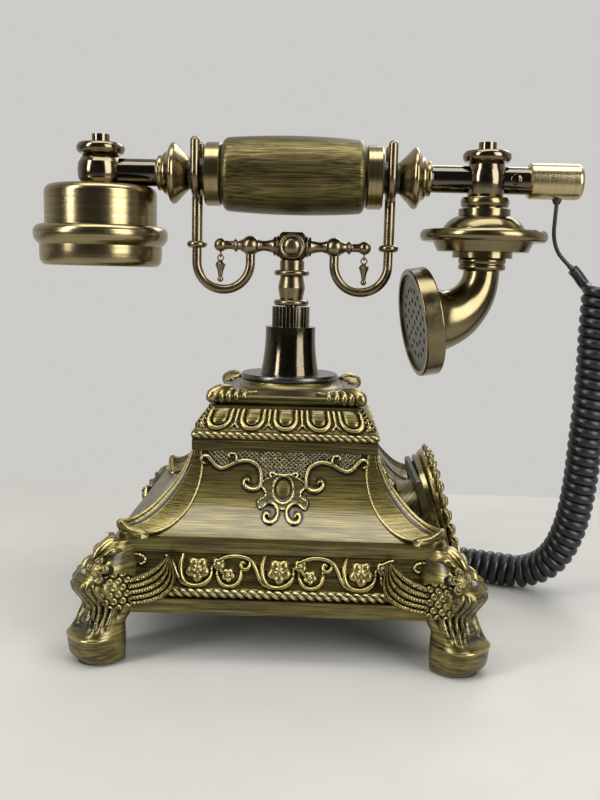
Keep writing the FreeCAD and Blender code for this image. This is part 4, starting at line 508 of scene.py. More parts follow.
def twoTone(name, ground, facts):
    # brass hubs and cap with a black-bronze tube between, told apart by distance from the grip's middle
    material = ground.copy()
    material.name = name
    tree = material.node_tree
    shader = tree.nodes["Principled BSDF"]
    place = addNode(tree, "ShaderNodeTexCoord")
    parts = addNode(tree, "ShaderNodeSeparateXYZ")
    tree.links.new(place.outputs["Object"], parts.inputs["Vector"])
    far = addNode(tree, "ShaderNodeMath", operation="ABSOLUTE")
    tree.links.new(parts.outputs["X"], far.inputs[0])
    inner, outer, edge = facts["inner"], facts["outer"], facts["edge"]
    past = mapRange(tree, far.outputs[0], inner - edge, inner + edge)
    short = mapRange(tree, far.outputs[0], outer - edge, outer + edge, 1.0, 0.0)
    share = addNode(tree, "ShaderNodeMath", operation="MULTIPLY")
    tree.links.new(past, share.inputs[0])
    tree.links.new(short, share.inputs[1])
    brass = shader.inputs["Base Color"].links[0].from_socket
    tree.links.new(mixColour(tree, share.outputs[0], brass, facts["tone"]), shader.inputs["Base Color"])
    rough = shader.inputs["Roughness"].links[0].from_socket
    smooth = addNode(tree, "ShaderNodeMix", data_type="FLOAT")
    smooth.inputs[3].default_value = facts["rough"]
    tree.links.new(share.outputs[0], smooth.inputs[0])
    tree.links.new(rough, smooth.inputs[2])
    tree.links.new(smooth.outputs[0], shader.inputs["Roughness"])
    return material


armBrass = twoTone("armBrass", ringBrass, tube)
tailCapLitBrass = twoTone("tailCapLitBrass", tailLitBrass, tube)
print("finishes ready")

finishOf = {
    "foot_pads": padRubber, "base_screws": steel, "bottom_plate": blackPlastic, "main_board": boardGreen,
    "ringer": steel, "handset_jack": blackPlastic, "line_jack": blackPlastic, "cord_plug": blackPlastic,
    "hook_spring": steel, "hook_switch": blackPlastic, "governor": steel, "dial_spindle": steel,
    "post_nut": steel, "number_plate": ivoryPlate, "finger_wheel": satinBrass, "dial_cap": satinBrass,
    "dial_bezel": satinBrass, "finger_stop": steel, "neck_block": neckShadedGold,
    "post_flange": flangeGrey, "post_cone": darkBronze, "knurled_collar": darkBronze,
    "cradle_stem": hookBrass, "cradle_head": hookBrass, "head_rosettes": hookBrass, "cross_bar": hookBrass,
    "hook_left": hookBrass, "hook_right": hookBrass, "pendant_left": hookBrass, "pendant_right": hookBrass,
    "grip_rod": blackPlastic, "grip_barrel": gripGold, "grip_ferrules": ringBrass, "arm_ear": armBrass,
    "arm_mic": armBrass, "ear_knuckle": knuckleBronze, "ear_cup": satinBrass, "ear_ring": satinBrass,
    "ear_capsule": blackPlastic, "mic_knuckle": knuckleBronze, "mic_dome": hornBrass, "mic_horn": hornBrass,
    "mic_rim": hornBrass, "mic_grille": grilleGrey, "tail_cap": tailCapLitBrass, "tail_grommet": blackPlastic}
for nodeName, node in cadNodes.items():
    node.data.materials.clear()
    node.data.materials.append(finishOf.get(nodeName, castGold))


# camera at the photograph's place
cameraFacts = {
    "eye": (15.5, -456.2, 169.6), "heading": -1.25, "dip": 8.1, "roll": 1.42, "focal": 917, "tall": 800,
    "sensor": 36}


def placed(side, up, back, spot):
    # a matrix from its three directions and its place
    rows = [[side[k], up[k], back[k], spot[k]] for k in range(3)]
    return Matrix(rows + [[0, 0, 0, 1]])


def buildCamera(facts):
    # heading turns the view about the vertical, dip lowers it and roll tips it, all in degrees
    heading, dip, roll = (math.radians(facts[key]) for key in ("heading", "dip", "roll"))
    ahead = np.array([math.sin(heading) * math.cos(dip), math.cos(heading) * math.cos(dip), -math.sin(dip)])
    right = np.array([math.cos(heading), -math.sin(heading), 0])
    up = np.cross(right, ahead)
    right, up = right * math.cos(roll) + up * math.sin(roll), up * math.cos(roll) - right * math.sin(roll)
    data = bpy.data.cameras.new("camera")
    data.sensor_width = facts["sensor"]
    data.lens = facts["sensor"] * facts["focal"] / facts["tall"]
    data.clip_start, data.clip_end = 0.01, 20
    camera = bpy.data.objects.new("camera", data)
    camera.matrix_world = placed(right, up, -ahead, [part * mm for part in facts["eye"]])
    scene.collection.objects.link(camera)
    scene.camera = camera


buildCamera(cameraFacts)


# floor, world and lamps
studio = {
    "floor": (0.46, 0.45, 0.42), "closeTone": 0.97, "grain": 30, "rough": (0.5, 0.6), "shine": 0.25,
    "fall": (0.34, 0.8), "farShadeTone": 0.42, "tableEdge": 240, "tableWide": 2600,
    "world": (0.80, 0.788, 0.765), "turn": 0.45, "dim": 0.07, "bright": 0.76, "aim": (0, 0, 0.1),
    "lamps": [("keyBox", (-0.80, -0.62, 0.62), (0.24, 0.9), 8.5),
              ("fillBox", (0.80, -0.74, 0.50), (0.62, 0.9), 11.0),
              ("topBox", (0.05, -0.16, 1.25), (1.3, 0.6), 11.5),
              ("backBox", (0.5, 0.9, 0.9), (0.8, 0.5), 5.0)]}


def buildFloor(facts):
    # pale table that ends behind the object; its tone falls with distance as a painted fall-off of light, so
    # it stays below white
    wide, deep = facts["tableWide"], facts["tableEdge"]
    points = np.array([[-wide, -wide, 0], [wide, -wide, 0], [wide, deep, 0], [-wide, deep, 0]], float)
    mesh = bpy.data.meshes.new("floor")
    mesh.from_pydata((points * mm).tolist(), [], [(0, 1, 2, 3)])
    floor = bpy.data.objects.new("floor", mesh)
    scene.collection.objects.link(floor)
    pale = facts["floor"]
    close = tuple(facts["closeTone"] * tone for tone in pale)
    finish = plainFinish("paleFloor", pale, close, *facts["rough"], 0.0, facts["grain"], 0.0)
    tree = finish.node_tree
    shader = tree.nodes["Principled BSDF"]
    shader.inputs["Specular IOR Level"].default_value = facts["shine"]
    place = addNode(tree, "ShaderNodeTexCoord")
    far = addNode(tree, "ShaderNodeVectorMath", operation="LENGTH")
    tree.links.new(place.outputs["Object"], far.inputs[0])
    # painted shade: the floor's colour darkens with distance from the object
    share = mapRange(tree, far.outputs["Value"], *facts["fall"], 0.0, 1.0, True)
    near = shader.inputs["Base Color"].links[0].from_socket
    dim = tuple(facts["farShadeTone"] * tone for tone in pale)
    tree.links.new(mixColour(tree, share, near, dim), shader.inputs["Base Color"])
    mesh.materials.append(finish)


def buildWorld(facts):
    # pale ahead of the camera and dim behind it
    world = bpy.data.worlds.new("studio")
    world.use_nodes = True
    tree = world.node_tree
    ground = tree.nodes["Background"]
    ground.inputs["Color"].default_value = facts["world"] + (1,)
    place = addNode(tree, "ShaderNodeTexCoord")
    parts = addNode(tree, "ShaderNodeSeparateXYZ")
    tree.links.new(place.outputs["Generated"], parts.inputs["Vector"])
    turn = facts["turn"]
    level = mapRange(tree, parts.outputs["Y"], -turn, turn, facts["dim"], facts["bright"], True)
    tree.links.new(level, ground.inputs["Strength"])
    scene.world = world


def buildLamps(facts):
    # soft boxes, each turned to look at the middle of the object
    for name, spot, size, power in facts["lamps"]:
        data = bpy.data.lights.new(name, "AREA")
        data.shape = "RECTANGLE"
        data.energy = power
        data.size, data.size_y = size
        lamp = bpy.data.objects.new(name, data)
        back = np.array(spot) - np.array(facts["aim"])
        back /= np.linalg.norm(back)
        side = np.cross([0, 0, 1], back)
        side /= np.linalg.norm(side)
        lamp.matrix_world = placed(side, np.cross(back, side), back, spot)
        scene.collection.objects.link(lamp)


buildFloor(studio)
buildWorld(studio)
buildLamps(studio)
print("camera, floor and lamps ready")


# cords
leadRoute = {
    "points": [(127.5, 0, 203.8), (127.3, 0.3, 197.5), (127.2, 1.4, 189), (129.8, 3.2, 181.5),
               (134.2, 4.3, 176.8), (138.6, 5, 172.9)], "wire": 2.0}
curlRoute = {
    "points": [(151.5, 0.5, 164.5), (151, 1, 146), (151.8, 2.5, 119), (151.2, 6, 88), (150.8, 10, 60),
               (148.5, 15.5, 36), (141.5, 21.5, 17.5), (128.5, 29.5, 8.8), (113, 36.5, 7.5), (97, 42.5, 7.3),
               (81.5, 46.9, 7.4), (66.5, 49, 7.3), (52, 49.4, 7.4)],
    "wire": 5.5, "radius": 6.1, "turns": 49.6, "stops": 14, "clear": 0.15,
    "fromLead": (3.5, 8), "drop": (0, 0.4, -1.5),
    "plug": (52, 44.2, 15.0), "toPlug": [(0, 1.0, -5.6), (0, 0, -3.2), (0, 0, 0)]}


def routeCurve(name, points, wire=None, resolution=8):
    # a NURBS line with the route's points as its control points
    data = bpy.data.curves.new(name, "CURVE")
    data.dimensions = "3D"
    spline = data.splines.new("NURBS")
    spline.points.add(len(points) - 1)
    flat = np.hstack([np.asarray(points, float) * mm, np.ones((len(points), 1))])
    spline.points.foreach_set("co", flat.astype(np.float32).ravel())
    spline.order_u = 3
    spline.use_endpoint_u = True
    spline.resolution_u = resolution
    if wire:
        data.bevel_depth = wire * mm / 2
        data.bevel_resolution = 4
        data.use_fill_caps = True
    curve = bpy.data.objects.new(name, data)
    scene.collection.objects.link(curve)
    return curve


def linePoints(curve):
    # the points of the curve's own smooth line, in millimetres
    mesh = bpy.data.meshes.new_from_object(curve)
    flat = np.zeros(len(mesh.vertices) * 3, np.float32)
    mesh.vertices.foreach_get("co", flat)
    bpy.data.meshes.remove(mesh)
    return flat.reshape(-1, 3).astype(float) / mm


def cordMesh(name, points, wire, resolution):
    # the tube that the line carries, as a mesh piece, and the line that it follows
    thin = routeCurve(name + "Line", points, None, resolution)
    path = linePoints(thin)
    thick = routeCurve(name + "Tube", points, wire, resolution)
    mesh = bpy.data.meshes.new_from_object(thick)
    mesh.name = name
    for curve in (thin, thick):
        data = curve.data
        bpy.data.objects.remove(curve)
        bpy.data.curves.remove(data)
    mesh.shade_smooth()
    piece = bpy.data.objects.new(name, mesh)
    scene.collection.objects.link(piece)
    return piece, path


def lineLength(path):
    # the sum of the steps between the path's points
    return float(np.linalg.norm(np.diff(path, axis=0), axis=1).sum())


def buildCurl(facts):
    # helix round the route: its centre line plus the radius times two sides that stay square to it
    guide = routeCurve("curlGuide", facts["points"], None, 24)
    centre = linePoints(guide)
    data = guide.data
    bpy.data.objects.remove(guide)
    bpy.data.curves.remove(data)
    run = np.concatenate([[0], np.cumsum(np.linalg.norm(np.diff(centre, axis=0), axis=1))])
    count = int(facts["turns"] * facts["stops"])
    at = np.linspace(0, run[-1], count)
    middle = np.stack([np.interp(at, run, centre[:, k]) for k in range(3)], -1)
    middle[:, 2] = np.maximum(middle[:, 2], facts["radius"] + facts["wire"] / 2 + facts["clear"])
    ahead = np.gradient(middle, axis=0)
    ahead /= np.linalg.norm(ahead, axis=1)[:, None]
    first = np.array([0, 1, 0]) - ahead[:, 1:2] * ahead
    first /= np.linalg.norm(first, axis=1)[:, None]
    second = np.cross(first, ahead)
    turn = np.linspace(0, facts["turns"] * 2 * math.pi, count)[:, None]
    radius = facts["radius"] / math.cos(math.pi / facts["stops"]) ** 0.7
    return middle + radius * (first * np.cos(turn) + second * np.sin(turn))


curlTurns = buildCurl(curlRoute)
leadEnd = np.array(leadRoute["points"][-1], float)
leadHeading = leadEnd - np.array(leadRoute["points"][-2], float)
leadHeading /= np.linalg.norm(leadHeading)
straight, bent = curlRoute["fromLead"]
curlPoints = np.vstack([
    leadEnd, leadEnd + leadHeading * straight, leadEnd + leadHeading * bent + curlRoute["drop"],
    curlTurns[2:-3], np.array(curlRoute["plug"]) + curlRoute["toPlug"]])
sleeve = {
    "length": 6.0, "thin": 1.2, "thick": 1.7, "shares": (0, 0.02, 0.12, 0.5, 0.9, 0.98, 1.0),
    "swells": (0.7, 0.95, 1.0, 1.12, 1.42, 1.38, 1.1), "sides": 28}


def buildSleeve(facts, at, along):
    # turned sleeve: its radius rises from the lead's to the cord's along the heading
    share = np.array(facts["shares"])[:, None, None]
    radius = np.array(facts["swells"])[:, None, None] * facts["thin"]
    radius = np.minimum(radius, facts["thick"])
    angle = np.linspace(0, 2 * math.pi, facts["sides"], endpoint=False)[None, :, None]
    side = np.cross(along, [0, 1, 0])
    side /= np.linalg.norm(side)
    other = np.cross(along, side)
    out = side * np.cos(angle) + other * np.sin(angle)
    grid = at + along * (share - 0.5) * facts["length"] + radius * out
    return makePiece("leadSleeve", closedGrid(grid), blackPlastic, "handset")


leadSleeve = buildSleeve(sleeve, leadEnd, leadHeading)
handsetLead, leadPath = cordMesh("handsetLead", leadRoute["points"], leadRoute["wire"], 10)
curlyCord, curlPath = cordMesh("curlyCord", curlPoints, curlRoute["wire"], 3)
settle(handsetLead, cordBlack, "handset", ["handset_lead"])
settle(curlyCord, cordBlack, None, ["curly_cord"])
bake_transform(curlyCord)
print("cords: lead", round(lineLength(leadPath), 1), "curly", round(lineLength(curlPath), 1), "mm")

# rope mouldings
plinthRope = {
    "half": 76.7, "height": 30.3, "radius": 2.2, "corner": 1.2, "twists": -54, "steps": 300,
    "gapRight": 31.2, "gapLeft": 6.6}
neckRope = {
    "half": 41.9, "height": 93.2, "radius": 1.9, "corner": 1.0, "twists": -32, "steps": 170,
    "gapRight": 0, "gapLeft": 0}


def castPiece(name, shell, material=castGold, replaces=(), sharp=38):
    # ornament cast with the base
    return makePiece(name, shell, material, "base", replaces, sharp)


def squareTrack(half, corner, steps, bend=8):
    # rounded square: four straight runs, each with a quarter circle after it; places and outward headings
    run = np.linspace(-1, 1, steps)
    arc = np.linspace(0, 0.5 * math.pi, bend + 2)[1:-1]
    places, headings = [], []
    for k in range(4):
        out = np.array([math.cos(k * math.pi / 2), math.sin(k * math.pi / 2)])
        along = np.array([-out[1], out[0]])
        places.append(out * half + np.outer(run * (half - corner), along))
        headings.append(np.repeat(out[None], steps, 0))
        turn = np.outer(np.cos(arc), out) + np.outer(np.sin(arc), along)
        places.append((out + along) * (half - corner) + turn * corner)
        headings.append(turn)
    return np.concatenate(places), np.concatenate(headings)


# shares of the rope's radius, then how the strands' height is washed
strands = {"count": 3, "offset": 0.46, "size": 0.54, "least": 0.5, "sides": 26, "level": 0.86, "gain": 7}


def buildRope(name, facts):
    # three strands laid round each other: the section is the reach of three turning circles
    places, headings = squareTrack(facts["half"], facts["corner"], facts["steps"])
    step = np.linalg.norm(np.roll(places, -1, 0) - places, axis=1)
    run = np.concatenate([[0], np.cumsum(step)[:-1]]) / step.sum()
    angle = np.linspace(0, 2 * math.pi, strands["sides"], endpoint=False)
    reach = np.zeros((len(run), len(angle)))
    offset, strand = strands["offset"], strands["size"]
    for k in range(strands["count"]):
        lean = angle[None] - run[:, None] * 2 * math.pi * facts["twists"] - k * 2 * math.pi / strands["count"]
        across = offset * np.sin(lean)
        hit = offset * np.cos(lean) + np.sqrt(np.clip(strand ** 2 - across ** 2, 0.0, 1))
        reach = np.maximum(reach, np.where(np.abs(across) < strand, hit, 0))
    reach = np.maximum(reach, strands["least"])
    radius = reach * facts["radius"]
    grid = np.zeros(radius.shape + (3,))
    grid[..., :2] = places[:, None] + headings[:, None] * (radius * np.cos(angle))[..., None]
    grid[..., 2] = facts["height"] + radius * np.sin(angle)
    relief = np.clip((reach - strands["level"]) * strands["gain"], -1, 1)
    # left bare under the dial stand and at the line jack
    away = np.abs(places[:, 1])
    right = (headings[:, 0] > 0.99) & (away < facts["gapRight"])
    left = (headings[:, 0] < -0.99) & (away < facts["gapLeft"])
    bare = right | left
    if not bare.any():
        return castPiece(name, closedGrid(grid, relief, wrapRows=True))
    order = np.roll(np.arange(len(bare)), -np.flatnonzero(bare)[0])
    runs = np.split(order, np.flatnonzero(np.diff(bare[order].astype(int))) + 1)
    shells = [closedGrid(grid[run], relief[run]) for run in runs if not bare[run[0]]]
    return castPiece(name, joined(shells))


buildRope("plinthRope", plinthRope)
buildRope("neckRope", neckRope)
print("ropes laid")

# body panels: lattice and scrolled cartouche on the hollow faces
panel = {
    "foot": 52.25, "head": 86.2, "arc": (95.4, 98.6, 54.8), "inset": 1.0, "proud": 0.1, "back": 0.7,
    "rows": 86, "columns": 284, "latticeWide": 2.15, "latticeTall": 1.85,
    # each bead's half width, height, steps and share left at its ends
    "beads": {"outer": (1.08, 1.75, 110, 0.45), "sprig": (0.8, 1.6, 60, 0.45),
              "volute": (0.95, 1.9, 80, 0.45)},
    "barBead": (0.75, 1.6, 50, 1.0), "plateBead": (0.5, 1.35, 70, 0.9),
    "outer": [(-35.4, 80.5), (-37.2, 80.8), (-38.2, 82.2), (-37.3, 83.7), (-35.4, 83.7), (-33.3, 81.9),
              (-31.4, 79.8), (-28.9, 78.7), (-26.0, 79.5), (-23.2, 80.9), (-20.0, 82.0), (-16.8, 82.3),
              (-13.7, 81.3), (-11.4, 79.4), (-10.4, 76.9), (-10.2, 74.5), (-10.6, 72.0), (-12.3, 70.5),
              (-14.6, 70.2), (-16.8, 71.1), (-18.1, 72.7), (-17.6, 74.0), (-16.1, 74.0), (-15.7, 73.1)],
    "sprig": [(-23.2, 80.9), (-22.2, 82.2), (-22.0, 83.8), (-22.9, 85.0), (-24.5, 85.3), (-25.6, 84.6),
              (-25.2, 83.6), (-24.2, 83.8)],
    "volute": [(-7.0, 64.9), (-4.8, 65.0), (-2.7, 63.9), (-1.9, 61.8), (-2.7, 59.5), (-4.8, 58.1),
               (-7.0, 58.4), (-8.2, 59.9), (-7.4, 61.1), (-6.0, 60.9), (-5.9, 59.9)],
    "bar": [(-6.0, 75.9), (-6.3, 76.9), (-5.2, 77.3), (-3.4, 76.6), (0, 76.3), (3.4, 76.6), (5.2, 77.3),
            (6.3, 76.9), (6.0, 75.9)],
    "plate": [(-4.1, 76.1), (-7.9, 74.5), (-9.9, 72.8), (-9.7, 71.2), (-7.9, 69.4), (-8.5, 67.3),
              (-11.1, 65.6), (-10.0, 62.9), (-7.3, 64.6), (-4.1, 64.9), (-1.9, 63.5), (0, 62.6)],
    "net": [(-33.3, 81.9), (-31.4, 79.8), (-28.9, 78.7), (-26.0, 79.5), (-23.2, 80.9), (-16.8, 82.3),
            (-13.7, 81.3), (-11.4, 79.4), (-10.4, 76.9), (-9.9, 73.0), (-4.1, 76.1)],
    "netTop": (35.4, 86.6), "netHeights": (0.12, 0.62), "plateHeight": 0.85,
    "oval": (0, 70.5, 4.4, 5.3), "ovalBoss": (0.25, 0.55, 0.72), "ovalRim": (1.5, 1.06, 0.15),
    "topShadeFrom": 62, "topShadeOver": 12, "dusk": 0.16}


def panelHalf(z, facts):
    # hollow face: a circle beyond the face, so the half width is its centre less the root of what is left
    x0, z0, radius = facts["arc"]
    return x0 - np.sqrt(radius ** 2 - (z - z0) ** 2)


def panelField(x, z, facts):
    # heights above the face: beads for the scrolls, a crossed-ridge lattice, a flat plate and a dished oval
    lower = facts["net"]
    topX, topZ = facts["netTop"]
    outline = [(-topX, topZ)] + lower + [(-px, pz) for px, pz in reversed(lower)] + [(topX, topZ)]
    net = inside(x, z, outline)
    a = x / facts["latticeWide"] + z / facts["latticeTall"]
    b = x / facts["latticeWide"] - z / facts["latticeTall"]
    ridge = np.maximum(np.abs(np.cos(math.pi * a)), np.abs(np.cos(math.pi * b))) ** 5
    floor, rise = facts["netHeights"]
    field = np.where(net, floor + rise * ridge, 0.0)
    halves = np.array(facts["plate"])
    whole = np.vstack([halves, halves[::-1] * np.array([-1, 1])])
    field = np.maximum(field, softened(inside(x, z, whole) * 1.0, 3) * facts["plateHeight"])
    for edge in both(facts["plate"]):
        field = np.maximum(field, bead(x, z, edge, *facts["plateBead"]))
    x0, z0, wide, tall = facts["oval"]
    oval = np.hypot((x - x0) / wide, (z - z0) / tall)
    floor, rise, size = facts["ovalBoss"]
    field = np.where(oval < 1.0, floor + rise * np.clip(1 - (oval / size) ** 2, 0, 1), field)
    rise, reach, half = facts["ovalRim"]
    field = np.maximum(field, rise * np.sqrt(np.clip(1 - ((oval - reach) / half) ** 2, 0, 1)))
    for name, sizes in facts["beads"].items():
        for stroke in both(facts[name]):
            field = np.maximum(field, bead(x, z, stroke, *sizes))
    return np.maximum(field, bead(x, z, facts["bar"], *facts["barBead"]))


def buildPanel(facts):
    # the field stands on the hollow face; the relief is darkened at the sides and towards the top, painted
    # shade beside the straps and towards the top
    z = np.linspace(facts["foot"], facts["head"], facts["rows"])[:, None]
    half = panelHalf(z, facts)
    x = np.linspace(-1, 1, facts["columns"])[None] * (half - facts["inset"])
    z = z + 0 * x
    field = panelField(x, z, facts)
    front = np.stack([x, -(half + facts["proud"] + field), z], -1)
    back = np.stack([x, -(half - facts["back"] + 0 * x), z], -1)
    # painted shade: the relief is lowered within 9 mm of each side, beside the straps, and just under the top
    # edge
    inFromSide = np.minimum(1, (half - facts["inset"] - np.abs(x)) / 9)
    edge = inFromSide * np.minimum(1, (facts["head"] - z) / 2 + 0.4)
    # painted shade that deepens towards the top of the face
    dusk = facts["dusk"] * np.clip((z - facts["topShadeFrom"]) / facts["topShadeOver"], 0, 1)
    relief = np.clip(washValue(field, 8, 2.4) - 0.12 * (1 - edge) - dusk, -1, 1)
    return slab(front, back, relief)


panelShell = buildPanel(panel)
for sideName, quarter in (("Front", 0), ("Right", 1), ("Back", 2), ("Left", 3)):
    castPiece("bodyPanel" + sideName, turnedRound(panelShell, quarter), panelShadedGold)
print("body panels carved")

# frieze: running vine with rosettes between the legs
frieze = {
    "low": 32.6, "high": 46.9, "halfLow": 76.0, "halfHigh": 71.5, "proud": 0.08, "back": 0.8,
    "rows": 44, "columns": 412, "period": 35.4, "middle": 39.8, "vine": 1.0, "vineHeight": 1.65,
    "vineEnd": 49.5, "dialGap": 31.5, "jackClear": 1.2, "brighter": 0.2,
    # each stroke's points, then its share of the vine's width and of its height
    "strokes": [
        ([(-6.4, 6.2), (-7.0, 3.6), (-7.4, 0.6), (-6.6, -3.2), (-4.4, -5.9), (-0.8, -6.7), (3.0, -5.7),
          (5.8, -2.9), (6.3, 1.4)], 1.15, 1.1),
        ([(6.6, 1.2), (8.4, 3.6), (13.4, 5.6), (18.6, 5.7), (22.8, 4.3), (25.2, 1.0), (27.0, -3.0),
          (29.6, -5.8), (33.6, -6.7)], 1.0, 1.0),
        ([(22.6, 4.4), (22.4, 1.8), (20.6, 0.4), (18.9, 1.6), (19.5, 3.3), (20.9, 2.8)], 0.95, 1.0),
        ([(8.6, 1.6), (8.8, -2.6), (11.0, -5.8), (14.6, -6.6), (18.0, -4.6), (19.0, -1.4), (18.9, 1.6)],
         0.95, 0.95),
        ([(8.6, 1.6), (10.8, -0.8), (13.2, -1.6), (14.2, 0.2)], 0.9, 0.9)],
    # each flower's place, size, height, petals and turn
    "flowers": [((0.1, 0.1), 5.6, 2.1, 5, 0.3), ((9.2, 2.6), 3.0, 1.7, 4, 0.7),
                ((13.4, -2.0), 3.2, 1.6, 5, 0.2)],
    "corner": [(70.5, 39.2), (68.0, 43.2), (63.8, 45.0), (59.6, 44.6), (58.2, 42.6), (60.0, 41.2),
               (61.4, 42.4)]}


def slopedHalf(z, facts):
    # half width of a sloping face: straight from its low edge to its high one
    drawn = facts["halfHigh"] - facts["halfLow"]
    return facts["halfLow"] + drawn * (z - facts["low"]) / (facts["high"] - facts["low"])


def rosetteField(x, z, spot, size, height, petals, turn):
    # domed flower: the rim waves with the petals and a crease falls between each pair
    dx, dz = x - spot[0], z - spot[1]
    far, angle = np.hypot(dx, dz), np.arctan2(dz, dx) + turn
    rim = size * (0.9 + 0.1 * np.cos(petals * angle))
    share = far / rim
    crease = 0.72 + 0.28 * np.abs(np.cos(petals * angle / 2)) ** 0.6
    dome = np.sqrt(np.clip(1 - share ** 4, 0, 1)) * crease
    eye = 0.35 * np.clip(1 - (far / (0.3 * size)) ** 2, 0, 1)
    dip = -0.3 * np.clip(1 - ((far - 0.42 * size) / (0.14 * size)) ** 2, 0, 1)
    return np.where(share < 1, height * dome + eye + dip, 0)


def friezeField(x, z, facts):
    # one period of vine repeated along the face, with flowers in the rings and a curl by each leg
    field = np.zeros(x.shape)
    for count in (-2, -1, 0, 1):
        shift = np.array([count * facts["period"], facts["middle"]])
        near = np.abs(x - shift[0] - 14) < 24
        xs, zs = x[near], z[near]
        part = np.zeros(xs.shape)
        for stroke, wide, tall in facts["strokes"]:
            line = np.array(stroke) + shift
            part = np.maximum(part, bead(xs, zs, line, facts["vine"] * wide, facts["vineHeight"] * tall))
        for spot, size, height, petals, turn in facts["flowers"]:
            part = np.maximum(part, rosetteField(xs, zs, shift + spot, size, height, petals, turn))
        field[near] = np.maximum(field[near], part)
    field = np.where(np.abs(x) < facts["vineEnd"], field, 0)
    for stroke in both(facts["corner"]):
        field = np.maximum(field, bead(x, z, stroke, 0.8, 1.5))
    return field


def buildFrieze(facts):
    # the field stands on the plinth's slope, and each height also leans a little upwards
    z = np.linspace(facts["low"], facts["high"], facts["rows"])[:, None]
    half = slopedHalf(z, facts)
    x = np.linspace(-1, 1, facts["columns"])[None] * (half - 0.3)
    z = z + 0 * x
    field = friezeField(x, z, facts)
    front = np.stack([x, -(half + facts["proud"] + field), z + 0.3 * field], -1)
    back = np.stack([x, -(half - facts["back"] + 0 * x), z], -1)
    relief = np.clip(washValue(field, 4, 2.8) + facts["brighter"], -1, 1)
    # cells that stay where the line jack is, and where the dial stand is
    cellX, cellZ = x[:-1, :-1], z[:-1, :-1]
    jack = np.array(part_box("line_jack")[1]) / mm + facts["jackClear"]
    atJack = ~((np.abs(cellX) < jack[1]) & (cellZ < jack[2]))
    atDial = np.abs(cellX) > facts["dialGap"]
    sides = (("Front", 0, None), ("Back", 2, None), ("Left", 3, atJack), ("Right", 1, atDial))
    for sideName, quarter, keep in sides:
        castPiece("frieze" + sideName, turnedRound(slab(front, back, relief, keep), quarter))


buildFrieze(frieze)
print("frieze carved")

# egg and dart round the neck
egg = {
    "low": 95.4, "high": 105.0, "halfLow": 41.9, "halfHigh": 34.9, "proud": 0.06, "back": 0.8,
    "rows": 38, "columns": 240, "step": 15.2, "middle": 100.9, "tip": 96.2, "spread": (41.0, 0.38, 39.0),
    "rim": 5.05, "rimWide": 1.05, "rimHeight": 1.6, "core": 3.55, "coreHeight": 1.55, "outside": 5.3,
    "dartLow": 97.6, "dartHeight": 1.25, "ledge": 104.2, "ledgeHeight": 0.9,
    "foot": [(0.2, 99.6), (0.9, 97.6), (2.2, 96.5), (3.4, 96.3)], "footWide": 0.42, "footHeight": 0.95}


def eggField(x, z, facts):
    # U-shaped rim round a swelling egg, a groove between them, and a dart with two feet between the eggs
    wide, drawn, usual = facts["spread"]
    across = x / ((wide - (z - facts["low"]) * drawn) / usual)
    near = across - facts["step"] * np.round(np.clip(across / facts["step"], -2, 2))
    deep = np.minimum(z - facts["middle"], 0) * 1.12
    far = np.hypot(near, deep)
    rim = facts["rimHeight"] * np.sqrt(np.clip(1 - ((far - facts["rim"]) / facts["rimWide"]) ** 2, 0, 1))
    core = facts["coreHeight"] * np.sqrt(np.clip(1 - (far / facts["core"]) ** 2.6, 0, 1))
    field = np.maximum(rim, core)
    side = np.abs(np.abs(near) - facts["step"] / 2)
    dartWide = 0.55 + 0.06 * (z - facts["tip"])
    dart = facts["dartHeight"] * np.sqrt(np.clip(1 - (side / dartWide) ** 2, 0, 1)) * (z > facts["dartLow"])
    foot = bead(side, z, facts["foot"], facts["footWide"], facts["footHeight"], 24)
    between = np.abs(near) > facts["outside"]
    field = np.maximum(field, np.where(between, np.maximum(dart, foot), 0))
    ledge = facts["ledgeHeight"] * np.clip((z - facts["ledge"]) / 0.4, 0, 1)
    return np.maximum(field, ledge)


def buildEggs(facts):
    # the field stands on the neck's slope and leans upwards, less so near the top
    z = np.linspace(facts["low"], facts["high"], facts["rows"])[:, None]
    half = slopedHalf(z, facts)
    x = np.linspace(-1, 1, facts["columns"])[None] * half
    z = z + 0 * x
    field = eggField(x, z, facts)
    lean = 0.55 * field * np.clip((facts["high"] - z) / 2, 0, 1)
    front = np.stack([x, -(half + facts["proud"] + 0.8 * field), z + lean], -1)
    back = np.stack([x * 0.97, -(half - facts["back"] + 0 * x), z], -1)
    return slab(front, back, np.clip(washValue(field, 7, 3.0) - 0.06, -1, 1))


castPiece("eggAndDart", fourRound(buildEggs(egg)))
print("egg and dart carved")

# cabriole legs with wings, scales and a flower on each knee
leg = {
    "rows": 132, "columns": 116,
    "profile": [(1.2, 119.2, 11.2), (4, 121.6, 11.9), (8, 122.4, 12.2), (11.6, 122.6, 12.2),
                (14.2, 121.4, 11.8), (18.5, 117.8, 11.0), (24.5, 115.4, 10.7), (29.5, 118.6, 11.2),
                (33.5, 121.2, 11.4), (37, 119.8, 11.0), (41, 116.0, 9.8), (45, 112.0, 8.0),
                (48.5, 108.4, 6.4), (51.6, 104.8, 5.2)],
    "backFoot": 101.0, "backTop": 93.0,
    "flutes": [(4, 16, 14.6, 35.0, 1.0), (18, 31, 14.8, 36.5, 1.15), (34, 48, 15.0, 37.0, 1.15),
               (52, 66, 15.6, 36.0, 1.05), (72, 88, 19.5, 36.0, 1.05)],
    "middle": 0.45, "frontPower": 0.9, "backPower": 0.4, "sidePower": 0.75,
    "fluteWide": 3.4, "ridgeOff": 8, "ridgeWide": 4.4, "ridgeShare": 0.5, "lip": 0.75, "lipTall": 0.8,
    "lipHeight": 12.3, "scoop": 2.3, "scoopHeight": 16.0, "kneeHeight": 37, "shadeHeight": 46}


